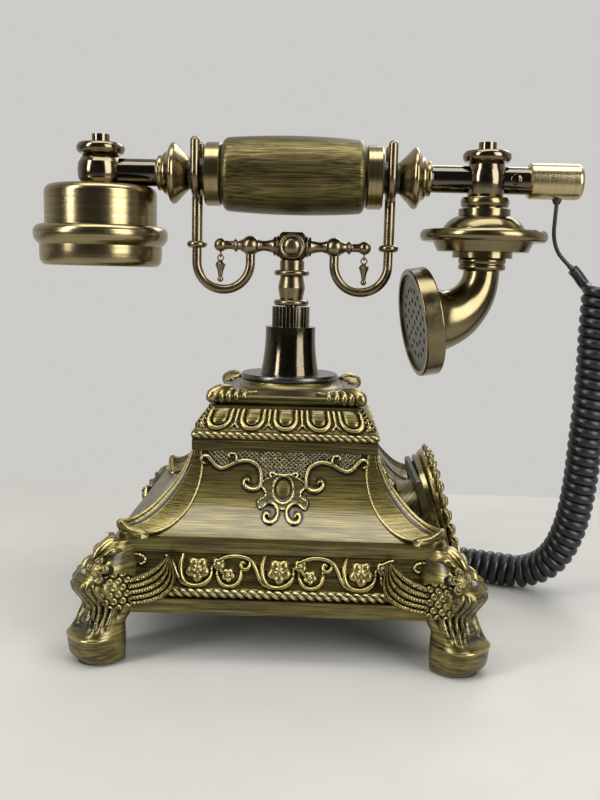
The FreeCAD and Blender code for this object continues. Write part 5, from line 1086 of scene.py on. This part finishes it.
def buildLegColumn(facts):
    # D-shaped rings: powers of sine and cosine, flat behind and full in front, grooved by leaning flutes
    z, front, half = smoothLine(facts["profile"], facts["rows"]).T[:, :, None]
    blend = np.clip((z - 18) / 8, 0, 1)
    rear = facts["backFoot"] + (facts["backTop"] - facts["backFoot"]) * blend
    angle = np.linspace(-math.pi, math.pi, facts["columns"], endpoint=False)[None]
    c, s = np.cos(angle), np.sin(angle)
    middle = rear + facts["middle"] * (front - rear)
    fore = middle + (front - middle) * np.abs(c) ** facts["frontPower"]
    aft = middle - (middle - rear) * np.abs(c) ** facts["backPower"]
    out = np.where(c > 0, fore, aft)
    side = half * np.sign(s) * np.abs(s) ** facts["sidePower"]
    lean = np.degrees(np.abs(angle))
    relief = np.zeros(out.shape)
    for top, bottom, low, high, depth in facts["flutes"]:
        share = np.clip((high - z) / (high - low), 0, 1)
        line = top + (bottom - top) * (3 * share ** 2 - 2 * share ** 3) + 3 * np.sin(2 * math.pi * share)
        window = np.sqrt(np.clip(np.sin(math.pi * np.clip((z - low) / (high - low), 0, 1)), 0, 1))
        relief -= depth * window * np.exp(-((lean - line) / facts["fluteWide"]) ** 2)
        beside = np.exp(-((lean - line - facts["ridgeOff"]) / facts["ridgeWide"]) ** 2)
        relief += facts["ridgeShare"] * depth * window * beside
    lip = facts["lip"] * np.exp(-((z - facts["lipHeight"]) / facts["lipTall"]) ** 2)
    relief += lip * np.clip(np.cos(angle) + 0.25, 0, 1)
    scoop = facts["scoop"] * np.exp(-((z - facts["scoopHeight"]) / 1.8) ** 2) * np.exp(-(lean / 30) ** 2)
    out = out + (relief - scoop) * c
    side = side + (relief - scoop) * s
    spot = np.stack([-(out - side) / math.sqrt(2), -(out + side) / math.sqrt(2), z + 0 * out], -1)
    # knee lifts a band round the knee towards rubbed gold; shade is painted shade in a band near the top of
    # the leg
    knee = 0.1 * np.exp(-((z - facts["kneeHeight"]) / 5) ** 2)
    shade = 0.35 * np.exp(-((z - facts["shadeHeight"]) / 3) ** 2)
    wearAndShade = np.clip(relief * 0.85 - 0.16 * scoop, -1, 0.6) + knee - shade
    return closedGrid(spot, np.clip(wearAndShade, -1, 1))


wing = {
    "feathers": 5, "across": 76, "along": 96, "root": ((62.9, 37.9), (62.9, 25.3)),
    "knee": ((54.0, 40.4), (37.6, 26.6)), "tip": ((47.4, 47.3), (46.6, 46.6)),
    "face": 79.1, "behind": 77.8, "barb": 1.15, "shortest": 24, "longer": 10, "rise": 1.45, "barbRise": 0.27,
    "shaft": 0.22, "rootBulge": 1.5, "bulge": 1.4}


def buildWing(facts):
    # feathers lie between two quadratic curves: f runs across the wing and t out to its tip
    f = np.linspace(0, 1, facts["across"])[:, None]
    t = np.linspace(0, 1, facts["along"])[None]
    x, z = 0, 0
    for key, pull in (("root", (1 - t) ** 2), ("knee", 2 * t * (1 - t)), ("tip", t ** 2)):
        (highX, highZ), (lowX, lowZ) = facts[key]
        x = x + pull * (highX + (lowX - highX) * f)
        z = z + pull * (highZ + (lowZ - highZ) * f)
    part = (f * facts["feathers"]) % 1
    part = np.where(f == 1, 1.0, part)
    swell = np.abs(np.sin(math.pi * part)) ** 0.55
    length = facts["shortest"] + facts["longer"] * f
    barbs = np.cos(2 * math.pi * (t * length / facts["barb"] - 0.9 * np.abs(part - 0.5)))
    fade = np.clip((1 - t) * 8, 0, 1)
    vane = part > facts["shaft"]
    barbed = facts["barbRise"] * barbs * swell * fade * vane
    height = 0.1 + facts["rise"] * swell * (1 - 0.35 * t ** 4) + barbed
    arch = np.sin(math.pi * np.clip(f * 0.9 + 0.05, 0, 1))
    body = facts["face"] + facts["rootBulge"] * (1 - t) ** 2 + facts["bulge"] * arch
    front = np.stack([-x, -(body + height), z], -1)
    back = np.stack([-x, -(facts["behind"] + 0 * x), z], -1)
    lines = 0.34 * barbs * fade * vane * swell
    wearAndShade = np.clip((swell - 0.66) * 1.9 + lines - 0.2 * (1 - t) ** 2, -1, 1)
    return slab(front, back, wearAndShade)


scales = {
    "outline": [(62.0, 25.0), (66.5, 24.2), (71, 25.2), (75.2, 28.2), (77.2, 32), (76.6, 36), (73.4, 39.6),
                (68.6, 41.0), (64.4, 40.2), (61.6, 38.4)],
    "left": 61, "right": 78, "low": 23.6, "high": 41.6, "firstRow": 25, "wide": 3.4, "tall": 3.5,
    "lap": 0.86, "fadeEnd": 77, "fadeOver": 5, "rise": 1.5, "lip": (0.75, 1.4, 40, 0.8),
    "base": 79.9, "climb": 0.57, "back": 2.6}


def buildScales(facts):
    # staggered domes on a sheet that rises from the wing's root to the knee
    left, low = facts["left"], facts["low"]
    x, z = np.meshgrid(np.linspace(left, facts["right"], 62), np.linspace(low, facts["high"], 66))
    row = np.round((z - facts["firstRow"]) / (facts["tall"] * facts["lap"]))
    shifted = x - left - 0.5 * facts["wide"] * (row % 2)
    dx = shifted - facts["wide"] * np.round(shifted / facts["wide"])
    dz = z - facts["firstRow"] - row * facts["tall"] * facts["lap"]
    far = np.hypot(dx / (0.5 * facts["wide"]), dz / (0.47 * facts["tall"]))
    dent = 0.38 * np.exp(-((far - 0.1) / 0.38) ** 2)
    dome = np.sqrt(np.clip(1 - far ** 4, 0, 1)) * (0.8 - 0.3 * dx / facts["wide"]) - dent
    keep = inside(x, z, facts["outline"])
    fade = np.clip((facts["fadeEnd"] - x) / facts["fadeOver"], 0, 1)
    lip = bead(x, z, facts["outline"][5:], *facts["lip"])
    height = np.maximum(facts["rise"] * dome * fade, lip)
    base = facts["base"] + (x - left - 0.5) * facts["climb"]
    front = np.stack([-x, -(base + height), z], -1)
    back = np.stack([-x, -(base - facts["back"]), z], -1)
    wearAndShade = np.clip((height - 0.62) * 1.4 * (0.4 + 0.6 * fade), -1, 1)
    return slab(front, back, wearAndShade, wholeCells(keep))


flower = {
    "spot": (-76.4, -84.9, 41.4), "normal": (-0.42, -0.80, 0.42), "size": 6.3, "petals": 5,
    "rise": 1.5, "dish": (0.8, 0.62, 0.2), "eye": (0.9, 0.2), "sunk": -3.0}


def buildFlower(facts):
    # the rim follows the cosine of half the petals' angle, each petal dished inside its edge
    share = np.concatenate([np.linspace(0.02, 1, 20), [1.0]])[:, None]
    angle = np.linspace(0, 2 * math.pi, 100, endpoint=False)[None]
    petal = np.abs(np.cos(0.5 * facts["petals"] * angle)) ** 0.6
    radius = facts["size"] * share * (0.45 + 0.55 * petal)
    deep, at, wide = facts["dish"]
    dish = deep * np.exp(-((share - at) / wide) ** 2) * petal
    rise, wide = facts["eye"]
    eye = rise * np.exp(-(share / wide) ** 2)
    height = facts["rise"] * np.sqrt(np.clip(1 - share ** 8, 0, 1)) - dish + eye
    height[-1] = facts["sunk"]
    normal = np.array(facts["normal"]) / np.linalg.norm(facts["normal"])
    across = np.cross((0, 0, 1), normal)
    across /= np.linalg.norm(across)
    turn = angle + 0.5 * math.pi
    grid = (np.array(facts["spot"]) + (radius * np.cos(turn))[..., None] * across
            + (radius * np.sin(turn))[..., None] * np.cross(normal, across) + height[..., None] * normal)
    return closedGrid(grid, np.clip((height - 0.85) * 0.9, -1, 1))


def lobe(points, radii, rows=18, columns=14, flat=1.0, ref=(0.3, 0.2, 1.0), wearAndShade=0.22):
    # rounded finger along a smooth line: rings of the given radii, square to the line
    line = smoothLine(points, rows)
    radius = np.interp(np.linspace(0, 1, rows), np.linspace(0, 1, len(radii)), radii)
    close = np.sqrt(np.clip(1 - (np.abs(np.linspace(-1, 1, rows)) ** 9), 0.001, 1))
    ahead = np.gradient(line, axis=0)
    ahead /= np.linalg.norm(ahead, axis=1)[:, None]
    side = np.cross(ahead, np.array(ref))
    side /= np.linalg.norm(side, axis=1)[:, None]
    other = np.cross(side, ahead)
    angle = np.linspace(0, 2 * math.pi, columns, endpoint=False)
    across, up = np.cos(angle)[None, :, None], np.sin(angle)[None, :, None]
    ring = side[:, None] * across + flat * other[:, None] * up
    grid = line[:, None] + ring * (radius * close)[:, None, None]
    crest = np.repeat((np.sin(angle) * (0.06 + 1.1 * wearAndShade) + wearAndShade)[None], rows, 0)
    return closedGrid(grid, np.clip(crest, -0.1, 0.55))


def swapped(shell):
    # the shell reflected in the diagonal of its corner, from the front face to the left one
    return shell[0][:, [1, 0, 2]], shell[1][:, ::-1], shell[2][:, ::-1], shell[3]


# each leaf's points and its radii along them
shoulder = [
    ([(-79.6, -79.6, 44.6), (-76.8, -77.4, 48.4), (-73.2, -74.0, 51.0), (-70.0, -72.0, 50.6)],
     (1.2, 2.0, 2.2, 1.5)),
    ([(-80.4, -75.2, 46.0), (-79.0, -71.5, 48.0), (-76.0, -68.5, 47.4), (-74.2, -66.0, 45.2)],
     (1.0, 1.6, 1.5, 0.9)),
    ([(-84.0, -80.5, 40.6), (-83.5, -76.0, 42.5), (-81.0, -72.0, 43.6), (-78.6, -69.2, 42.4)],
     (0.9, 1.5, 1.3, 0.8))]


def buildShoulder(leaves):
    # scroll leaves that climb from the flower to the plinth's corner
    shells = []
    for points, radii in leaves:
        shell = lobe(points, radii, 20, 14)
        shells += [shell, swapped(shell)]
    return shells


flowerShell = buildFlower(flower)
legParts = [buildLegColumn(leg)] + buildShoulder(shoulder)
legShells = [joined(legParts + [bloom]) for bloom in (flowerShell, swapped(flowerShell))]
sideShells = [buildWing(wing), buildScales(scales)]
wingShell = joined(sideShells + [swapped(shell) for shell in sideShells])
for corner, quarter in (("front_left", 0), ("front_right", 1), ("back_right", 2), ("back_left", 3)):
    label = "".join(word.capitalize() for word in corner.split("_"))
    castPiece("leg" + label, turnedRound(legShells[quarter % 2], quarter), legGold, ["leg_" + corner], 50)
    castPiece("wings" + label, turnedRound(wingShell, quarter), legGold)
print("legs carved")

# corner straps: hollow bands that flare into a boat-shaped foot
strap = {
    "rows": 76, "columns": 34,
    "ridge": [(42.8, 86.1), (44.6, 81.0), (47.6, 75.3), (52.4, 69.0), (58.6, 62.8), (64.6, 59.3),
              (68.6, 58.6), (70.6, 59.4)],
    "edge": [(38.6, 42.6, 86.1), (37.9, 44.0, 81.0), (38.0, 46.4, 75.3), (39.6, 50.4, 68.2),
             (43.2, 55.8, 61.2), (48.4, 61.2, 56.4), (53.6, 65.0, 54.1), (58.2, 67.6, 53.4)],
    "facing": (0.45, 0.75, 0.48), "thick": (1.5, 1.9, 1.2), "grooveAt": 0.19, "grooveWide": 0.055,
    "grooveDeep": 0.9, "hollow": (0.3, 3.0), "toeOut": 2.6,
    "lipShift": (0.2, 0.2, 0.3), "bellyShift": (-1.4, -1.4, -3.0),
    "edgeRadii": (0.4, 0.5, 0.7, 1.0), "ridgeRadii": (0.4, 0.55, 0.9, 1.7),
    "lipRadii": (1.4, 2.0, 1.9, 1.2), "bellyRadii": (1.6, 3.4, 4.2, 2.8)}


def buildStrap(facts):
    # u runs from the corner's ridge to the face edge and v down the corner; the hollow deepens with v
    v = np.linspace(0, 1, facts["rows"])[:, None]
    u = np.linspace(0, 1, facts["columns"])[None]
    ridge = smoothLine(facts["ridge"], facts["rows"])
    ridge = np.stack([ridge[:, 0], ridge[:, 0], ridge[:, 1]], -1)
    edge = smoothLine(facts["edge"], facts["rows"])
    spot = ridge[:, None] * (1 - u[..., None]) + edge[:, None] * u[..., None]
    arch = np.sin(math.pi * u)
    above, more = facts["hollow"]
    hollow = (above + more * v ** 4) * arch ** 0.8
    groove = np.exp(-((u - facts["grooveAt"]) / facts["grooveWide"]) ** 2) * np.clip((0.93 - v) * 9, 0, 1)
    spot = spot - (hollow + facts["grooveDeep"] * groove)[..., None] * np.array(facts["facing"])
    spot[..., :2] += (facts["toeOut"] * v ** 10 * arch)[..., None]
    inner = spot - np.array(facts["thick"]) * (0.7 + 0.3 * v[..., None])
    flip = np.array([-1, -1, 1])
    # painted reflection: the hollow inside the toe is darkened; the groove is washed dark
    wearAndShade = np.clip(0.29 - 1.2 * groove - 0.4 * v ** 8 * arch, -1, 1)
    rimEdge = lobe(spot[::5, -1] * flip, facts["edgeRadii"], 60, 12, wearAndShade=0.24)
    toe = spot[-1, ::3]
    rimFoot = lobe((toe + facts["lipShift"]) * flip, facts["lipRadii"], 26, 18, wearAndShade=0.2)
    belly = lobe((toe + facts["bellyShift"]) * flip, facts["bellyRadii"], 26, 24, wearAndShade=0.22)
    rimRidge = lobe(spot[::5, 0] * flip, facts["ridgeRadii"], 60, 14, wearAndShade=0.2)
    return joined([slab(spot * flip, inner * flip, wearAndShade), rimEdge, rimFoot, belly, rimRidge])


strapShell = buildStrap(strap)
strapPair = joined([strapShell, swapped(strapShell)])
castPiece("cornerStraps", fourRound(strapPair), castGold, ["corner_straps"], 55)
print("straps bent")

# acanthus leaves over the corners of the neck, and leaf edges down its sides
leaf = {
    "root": (-27.0, -27.0, 112.9), "ends": (33.8, 30.6, 27.2, 23.6, 19.8),
    "lows": (106.9, 106.7, 107.0, 107.8, 108.9),
    "rib": [(-25.5, -25.5, 113.1), (-31.0, -31.0, 113.0), (-34.4, -34.4, 110.8), (-35.6, -35.6, 107.4)],
    "tail": [(-22.0, -30.2, 112.0), (-18.5, -30.6, 111.6), (-15.5, -30.9, 111.9), (-13.6, -30.6, 112.9)],
    "ribRadii": (1.5, 2.7, 3.1, 1.9), "tailRadii": (1.3, 1.0, 0.9, 0.6), "edgeRadii": (0.5, 0.75, 0.4),
    "edges": (97.2, 104.6, 6), "neckHalf": 41.9, "neckLow": 95.4, "neckSlope": 0.729}


def buildLeaf(facts):
    # fingers fan from a root on the neck's top, over its torus, one on the diagonal and five to each face
    root = np.array(facts["root"])
    shells = [lobe(facts["rib"], facts["ribRadii"], 22)]
    for k, (end, low) in enumerate(zip(facts["ends"], facts["lows"])):
        path = [root + (0.9 * k, -0.4, 0.2), (-end * 0.97, -31.4, root[2] - 0.25 * k),
                (-end, -34.0 + 0.12 * k, 110.6), (-end + 0.5, -34.6 + 0.2 * k, low)]
        finger = lobe(path, (0.8, 1.6 - 0.1 * k, 2.15 - 0.16 * k, 1.2), 20)
        shells += [finger, swapped(finger)]
    tail = lobe(facts["tail"], facts["tailRadii"], 16)
    shells += [tail, swapped(tail)]
    for z in np.linspace(*facts["edges"]):
        half = facts["neckHalf"] - (z - facts["neckLow"]) * facts["neckSlope"]
        path = [(-half - 0.3, -half - 0.3, z + 1.6), (-half + 1.2, -half - 0.5, z + 0.4),
                (-half + 2.6, -half - 0.4, z - 1.2)]
        stroke = lobe(path, facts["edgeRadii"], 12, 10)
        shells += [stroke, swapped(stroke)]
    return joined(shells)


castPiece("neckLeaves", fourRound(buildLeaf(leaf)), castGold, ["neck_leaves"], 60)
print("leaves laid")

# dial side: stand, drum, wreath and digits, all on the dial's own sloping axes
dial = {
    "centre": (71.4, 0, 49.5), "slope": 16.0, "plateHalf": 29.9, "thick": 3.6, "top": 72.0, "low": 21.7,
    "back": 60.5, "drum": 9.0, "drumDeep": 17.0, "drumSides": 72, "drumShade": -0.45,
    "reach": (-1, -0.985, -0.94, -0.5, 0, 0.5, 0.94, 0.985, 1),
    "draw": (0.975, 0.993, 1, 1, 1, 1, 1, 0.993, 0.975),
    "wreath": 28.9, "stemRadii": (1.8, 2.6, 2.6, 1.8), "stemOut": 4.9, "leaves": 17, "start": -30.0,
    "stop": 210.0, "leafRadii": (0.7, 2.0, 1.7, 0.4), "curl": 4.2, "curlOut": 5.6, "curlTurn": 500,
    "digitSize": 5.4, "digitFace": 2.02, "digitRise": 0.06}
dialCentre = np.array(dial["centre"], float)
dialSlope = math.radians(dial["slope"])
dialOut = np.array([math.cos(dialSlope), 0, math.sin(dialSlope)])
dialUp = np.array([-math.sin(dialSlope), 0, math.cos(dialSlope)])
dialAcross = np.array([0.0, 1.0, 0.0])


def onDial(radius, degrees, out):
    # polar place on the dial: round from the right-hand side, and out along its axis
    angle = np.radians(np.asarray(degrees, float))[..., None]
    radius, out = np.asarray(radius, float)[..., None], np.asarray(out, float)[..., None]
    return dialCentre + radius * (np.cos(angle) * dialAcross + np.sin(angle) * dialUp) + out * dialOut


def standFront(z):
    # the leaning front: the dial's middle less the rise times the tangent of the slope
    return dialCentre[0] - (z - dialCentre[2]) * math.tan(dialSlope)


def buildStand(facts):
    # leaning plate with a solid foot: one side view across the dial's width, drawn in a little at both ends
    thick = facts["thick"] / math.cos(dialSlope)
    top, low, back = facts["top"], facts["low"], facts["back"]
    outline = np.array([
        (back, low), (standFront(low) - 0.6, low), (standFront(low + 0.6), low + 0.6), (standFront(40), 40),
        (standFront(58), 58), (standFront(top - 1), top - 1), (standFront(top) - 1.0, top),
        (standFront(top) - thick + 1.0, top - 0.4), (standFront(top - 2) - thick, top - 2),
        (standFront(66) - thick, 66), (standFront(57) - thick, 57), (62.2, 53.2), (back, 51.0), (back, 36)])
    middle = outline.mean(0)
    reach = np.array(facts["reach"]) * facts["plateHalf"]
    side = middle + (outline - middle)[None] * np.array(facts["draw"])[:, None, None]
    grid = np.stack([side[..., 0], np.repeat(reach[:, None], len(outline), 1), side[..., 1]], -1)
    # painted shade: the whole plate is darkened, a little less at its two side edges
    wearAndShade = 0.08 * (np.abs(reach) > facts["plateHalf"] * 0.93) - 0.4
    plate = closedGrid(grid, np.repeat(wearAndShade[:, None], len(outline), 1))
    deep, ring = np.meshgrid([-3.0, -9.0, -facts["drumDeep"]],
                             np.linspace(0, 360, facts["drumSides"], endpoint=False), indexing="ij")
    drum = closedGrid(onDial(facts["drum"] + 0 * ring, ring, deep), np.full(ring.shape, facts["drumShade"]))
    return joined([plate, drum])


def buildWreath(facts):
    # laurel round the bezel: a stem along the arc, slanting leaves beside and on it, a scroll at each end
    start, stop, radius = facts["start"], facts["stop"], facts["wreath"]
    facing = tuple(dialOut + 0.01)
    arc = np.linspace(start, stop, 40)
    shells = [lobe(onDial(radius + 0 * arc, arc, facts["stemOut"] + 0 * arc), facts["stemRadii"], 120, 16)]
    for at in np.linspace(start + 6, stop - 6, facts["leaves"]):
        heading = 1 if at < 90 else -1
        turn = at + heading * np.array([-5.5, 0.0, 5.0, 10.0])
        for side, spread in ((1, 2.8), (-1, 1.3), (0, 0.4)):
            far = radius + side * spread * np.array([0.15, 0.8, 1.0, 0.75])
            out = (7.0 if side else 8.0) + np.array([-1.6, 0.4, 0.9, -0.2]) - 0.5 * abs(side)
            shells.append(lobe(onDial(far, turn, out), facts["leafRadii"], 14, 12, 0.7, facing))
    t = np.linspace(0, 1, 26)[:, None]
    curl = facts["curl"] * (1 - 0.75 * t)
    angle = np.radians(facts["curlTurn"] * t)
    for end, heading in ((start, -1), (stop, 1)):
        base = onDial(radius, end, facts["curlOut"])
        along = onDial(radius, end + heading, facts["curlOut"]) - base
        along /= np.linalg.norm(along)
        away = np.cross(along, dialOut) * heading
        spot = base - away * facts["curl"] + away * curl * np.cos(angle) + along * curl * np.sin(angle)
        shells.append(lobe(spot, (2.0, 1.6, 1.2), 60, 14, 1.0, facing))
    return joined(shells)


def buildDigits(facts):
    # each numeral is set flat on the number plate, in the middle of its finger hole at rest
    for item in frame["record"]["physics"]["openings"]:
        if not item["name"].startswith("finger_hole_"):
            continue
        away = np.array(item["box_m"], float).mean(0) / mm - dialCentre
        spot = dialCentre + dialAcross * (away @ dialAcross) + dialUp * (away @ dialUp)
        spot = spot + dialOut * facts["digitFace"]
        numeral = item["name"].rsplit("_", 1)[1]
        data = bpy.data.curves.new("numeral", "FONT")
        data.body = numeral
        data.size = facts["digitSize"] * mm
        data.extrude = facts["digitRise"] * mm
        data.align_x = "CENTER"
        data.align_y = "CENTER"
        text = bpy.data.objects.new("numeral", data)
        scene.collection.objects.link(text)
        mesh = bpy.data.meshes.new_from_object(text)
        bpy.data.objects.remove(text)
        bpy.data.curves.remove(data)
        mesh.name = "digit" + numeral
        mesh.transform(placed(dialAcross, dialUp, dialOut, spot * mm))
        piece = bpy.data.objects.new("digit" + numeral, mesh)
        scene.collection.objects.link(piece)
        settle(piece, digitInk, "base")


castPiece("dialStand", buildStand(dial), castGold, ["dial_platform"], 30)
castPiece("dialWreath", buildWreath(dial), castGold, (), 60)
buildDigits(dial)
print("dial side dressed")

# small screw in the tube behind the mouthpiece
tailScrew = {
    "spot": (106.4, -6.3, 214.5), "radius": 2.7, "rise": 1.3, "sunk": -1.2,
    "crossHalf": 0.13, "crossReach": 0.62, "crossDeep": 0.7}


def buildScrew(facts):
    # domed head with a cross: the dome is dropped where either arm of the cross runs
    share = np.concatenate([np.linspace(0.02, 1, 16), [1.0]])[:, None]
    angle = np.linspace(0, 2 * math.pi, 64, endpoint=False)[None]
    across, up = share * np.cos(angle), share * np.sin(angle)
    small, large = np.minimum(np.abs(across), np.abs(up)), np.maximum(np.abs(across), np.abs(up))
    cross = (small < facts["crossHalf"]) & (large < facts["crossReach"])
    dome = facts["rise"] * np.sqrt(np.clip(1 - 0.75 * share ** 2, 0, 1))
    rise = dome - facts["crossDeep"] * cross
    rise[-1] = facts["sunk"]
    x0, y0, z0 = facts["spot"]
    grid = np.stack([x0 + facts["radius"] * across, y0 - rise, z0 + facts["radius"] * up], -1)
    return closedGrid(grid)


makePiece("tailScrew", buildScrew(tailScrew), darkBronze, "handset")

# turned shapes of the handset and the cradle, drawn from the photograph's outlines
arms = {
    "height": 214.5,
    "profile": [(50.9, 7.4), (51.6, 8.2), (53.2, 9.8), (55.0, 11.6), (56.4, 13.2), (57.4, 14.2),
                (58.6, 14.6), (59.6, 14.1), (60.3, 12.9), (61.0, 11.4), (62.0, 10.3), (63.0, 9.8),
                (63.6, 9.0), (64.1, 8.3), (65.0, 8.5), (65.9, 8.2), (66.3, 7.1), (66.7, 6.5),
                (70.0, 6.5), (78.0, 6.5), (85.6, 6.5)]}
earCap = {
    "middle": -94.4, "plate": 24.5, "plateLow": 169.9, "plateThick": 1.0, "dish": 1.3, "pitch": 5.4,
    "hole": 1.3, "steps": 104,
    "profile": [(188.6, 27.0), (188.5, 29.4), (188.0, 30.9), (187.0, 31.9), (185.6, 32.5), (184.0, 32.6),
                (182.4, 32.4), (181.0, 31.8), (179.9, 30.9), (179.2, 30.1), (178.8, 29.7), (178.2, 29.7),
                (176.0, 29.7), (173.0, 29.6), (171.2, 29.3), (170.0, 28.6), (169.2, 27.6), (168.9, 26.4),
                (169.1, 25.4), (169.8, 24.7), (171.4, 24.4), (186.4, 24.4), (187.4, 24.8)]}
bar = {
    "height": 180.65,
    "near": [(6.1, 4.7), (6.7, 5.2), (7.4, 5.2), (8.0, 4.5), (8.8, 3.8), (10.2, 3.2), (12.2, 2.7),
             (14.2, 2.5), (15.6, 2.8), (16.8, 3.2)],
    "far": [(24.4, 3.2), (25.6, 2.5), (26.5, 2.2), (27.1, 2.9), (27.8, 3.3), (28.5, 2.9), (29.1, 2.2),
            (30.8, 2.0), (32.4, 2.2), (33.4, 2.4)],
    "rosette": [(6.0, 6.1), (6.8, 6.2), (7.4, 6.0), (7.6, 5.5), (7.4, 5.0), (7.3, 4.6), (7.8, 4.2),
                (8.6, 3.5), (9.2, 2.4), (9.5, 1.1), (9.55, 0.1)]}


def lathe(profile, place, axis, rows=0, columns=96, loop=False):
    # distance along the axis and radius, swept round it; rows asks for a smooth line through the profile
    along, radius = (smoothLine(profile, rows) if rows else np.array(profile, float)).T
    axis = np.array(axis, float)
    side = np.cross(axis, (0.31, 0.52, 0.79))
    side /= np.linalg.norm(side)
    angle = np.linspace(0, 2 * math.pi, columns, endpoint=False)
    ring = np.cos(angle)[:, None] * side + np.sin(angle)[:, None] * np.cross(axis, side)
    radius = np.maximum(radius, 0.02)[:, None, None]
    grid = np.array(place, float) + along[:, None, None] * axis + radius * ring[None]
    return closedGrid(grid, wrapRows=loop)


def buildEarPlate(facts):
    # dished plate, pierced by one hole, a ring of six and a ring of twelve
    line = np.linspace(-1, 1, facts["steps"]) * facts["plate"]
    x, y = np.meshgrid(line, line)
    far = np.hypot(x, y)
    keep = far < facts["plate"] - 0.2
    for ring, count in ((0, 1), (1, 6), (2, 12)):
        for angle in np.arange(count) * 2 * math.pi / count:
            reach = facts["pitch"] * ring
            keep &= np.hypot(x - reach * math.cos(angle), y - reach * math.sin(angle)) > facts["hole"]
    low = facts["plateLow"] + facts["dish"] * np.clip(1 - (far / facts["plate"]) ** 2, 0, 1)
    front = np.stack([facts["middle"] + x, y, low], -1)
    return slab(front, front + np.array([0, 0, facts["plateThick"]]), np.zeros(x.shape), wholeCells(keep))


armShell = lathe(arms["profile"], (0, 0, arms["height"]), (1, 0, 0), 150)
makePiece("armMic", armShell, armBrass, "handset", ["arm_mic"], 50)
makePiece("armEar", mirrored(armShell), armBrass, "handset", ["arm_ear"], 50)
capRing = lathe(earCap["profile"], (earCap["middle"], 0, 0), (0, 0, 1), 0, 144, True)
capShell = joined([capRing, buildEarPlate(earCap)])
makePiece("earCap", capShell, satinBrass, "handset", ["ear_ring"], 42)
turnings = joined([lathe(bar[key], (0, 0, bar["height"]), (1, 0, 0), 60, 48) for key in ("near", "far")])
barShell = joined([turnings, mirrored(turnings)])
makePiece("barTurnings", barShell, hookBrass, "cradle", (), 50)
rosette = lathe(bar["rosette"], (0, 0, bar["height"]), (0, -1, 0), 60, 72)
rosetteShell = joined([rosette, mirrored(rosette, (1, -1, 1))])
makePiece("headRosettes", rosetteShell, hookBrass, "cradle", ["head_rosettes"], 50)
print("handset and cradle turned")
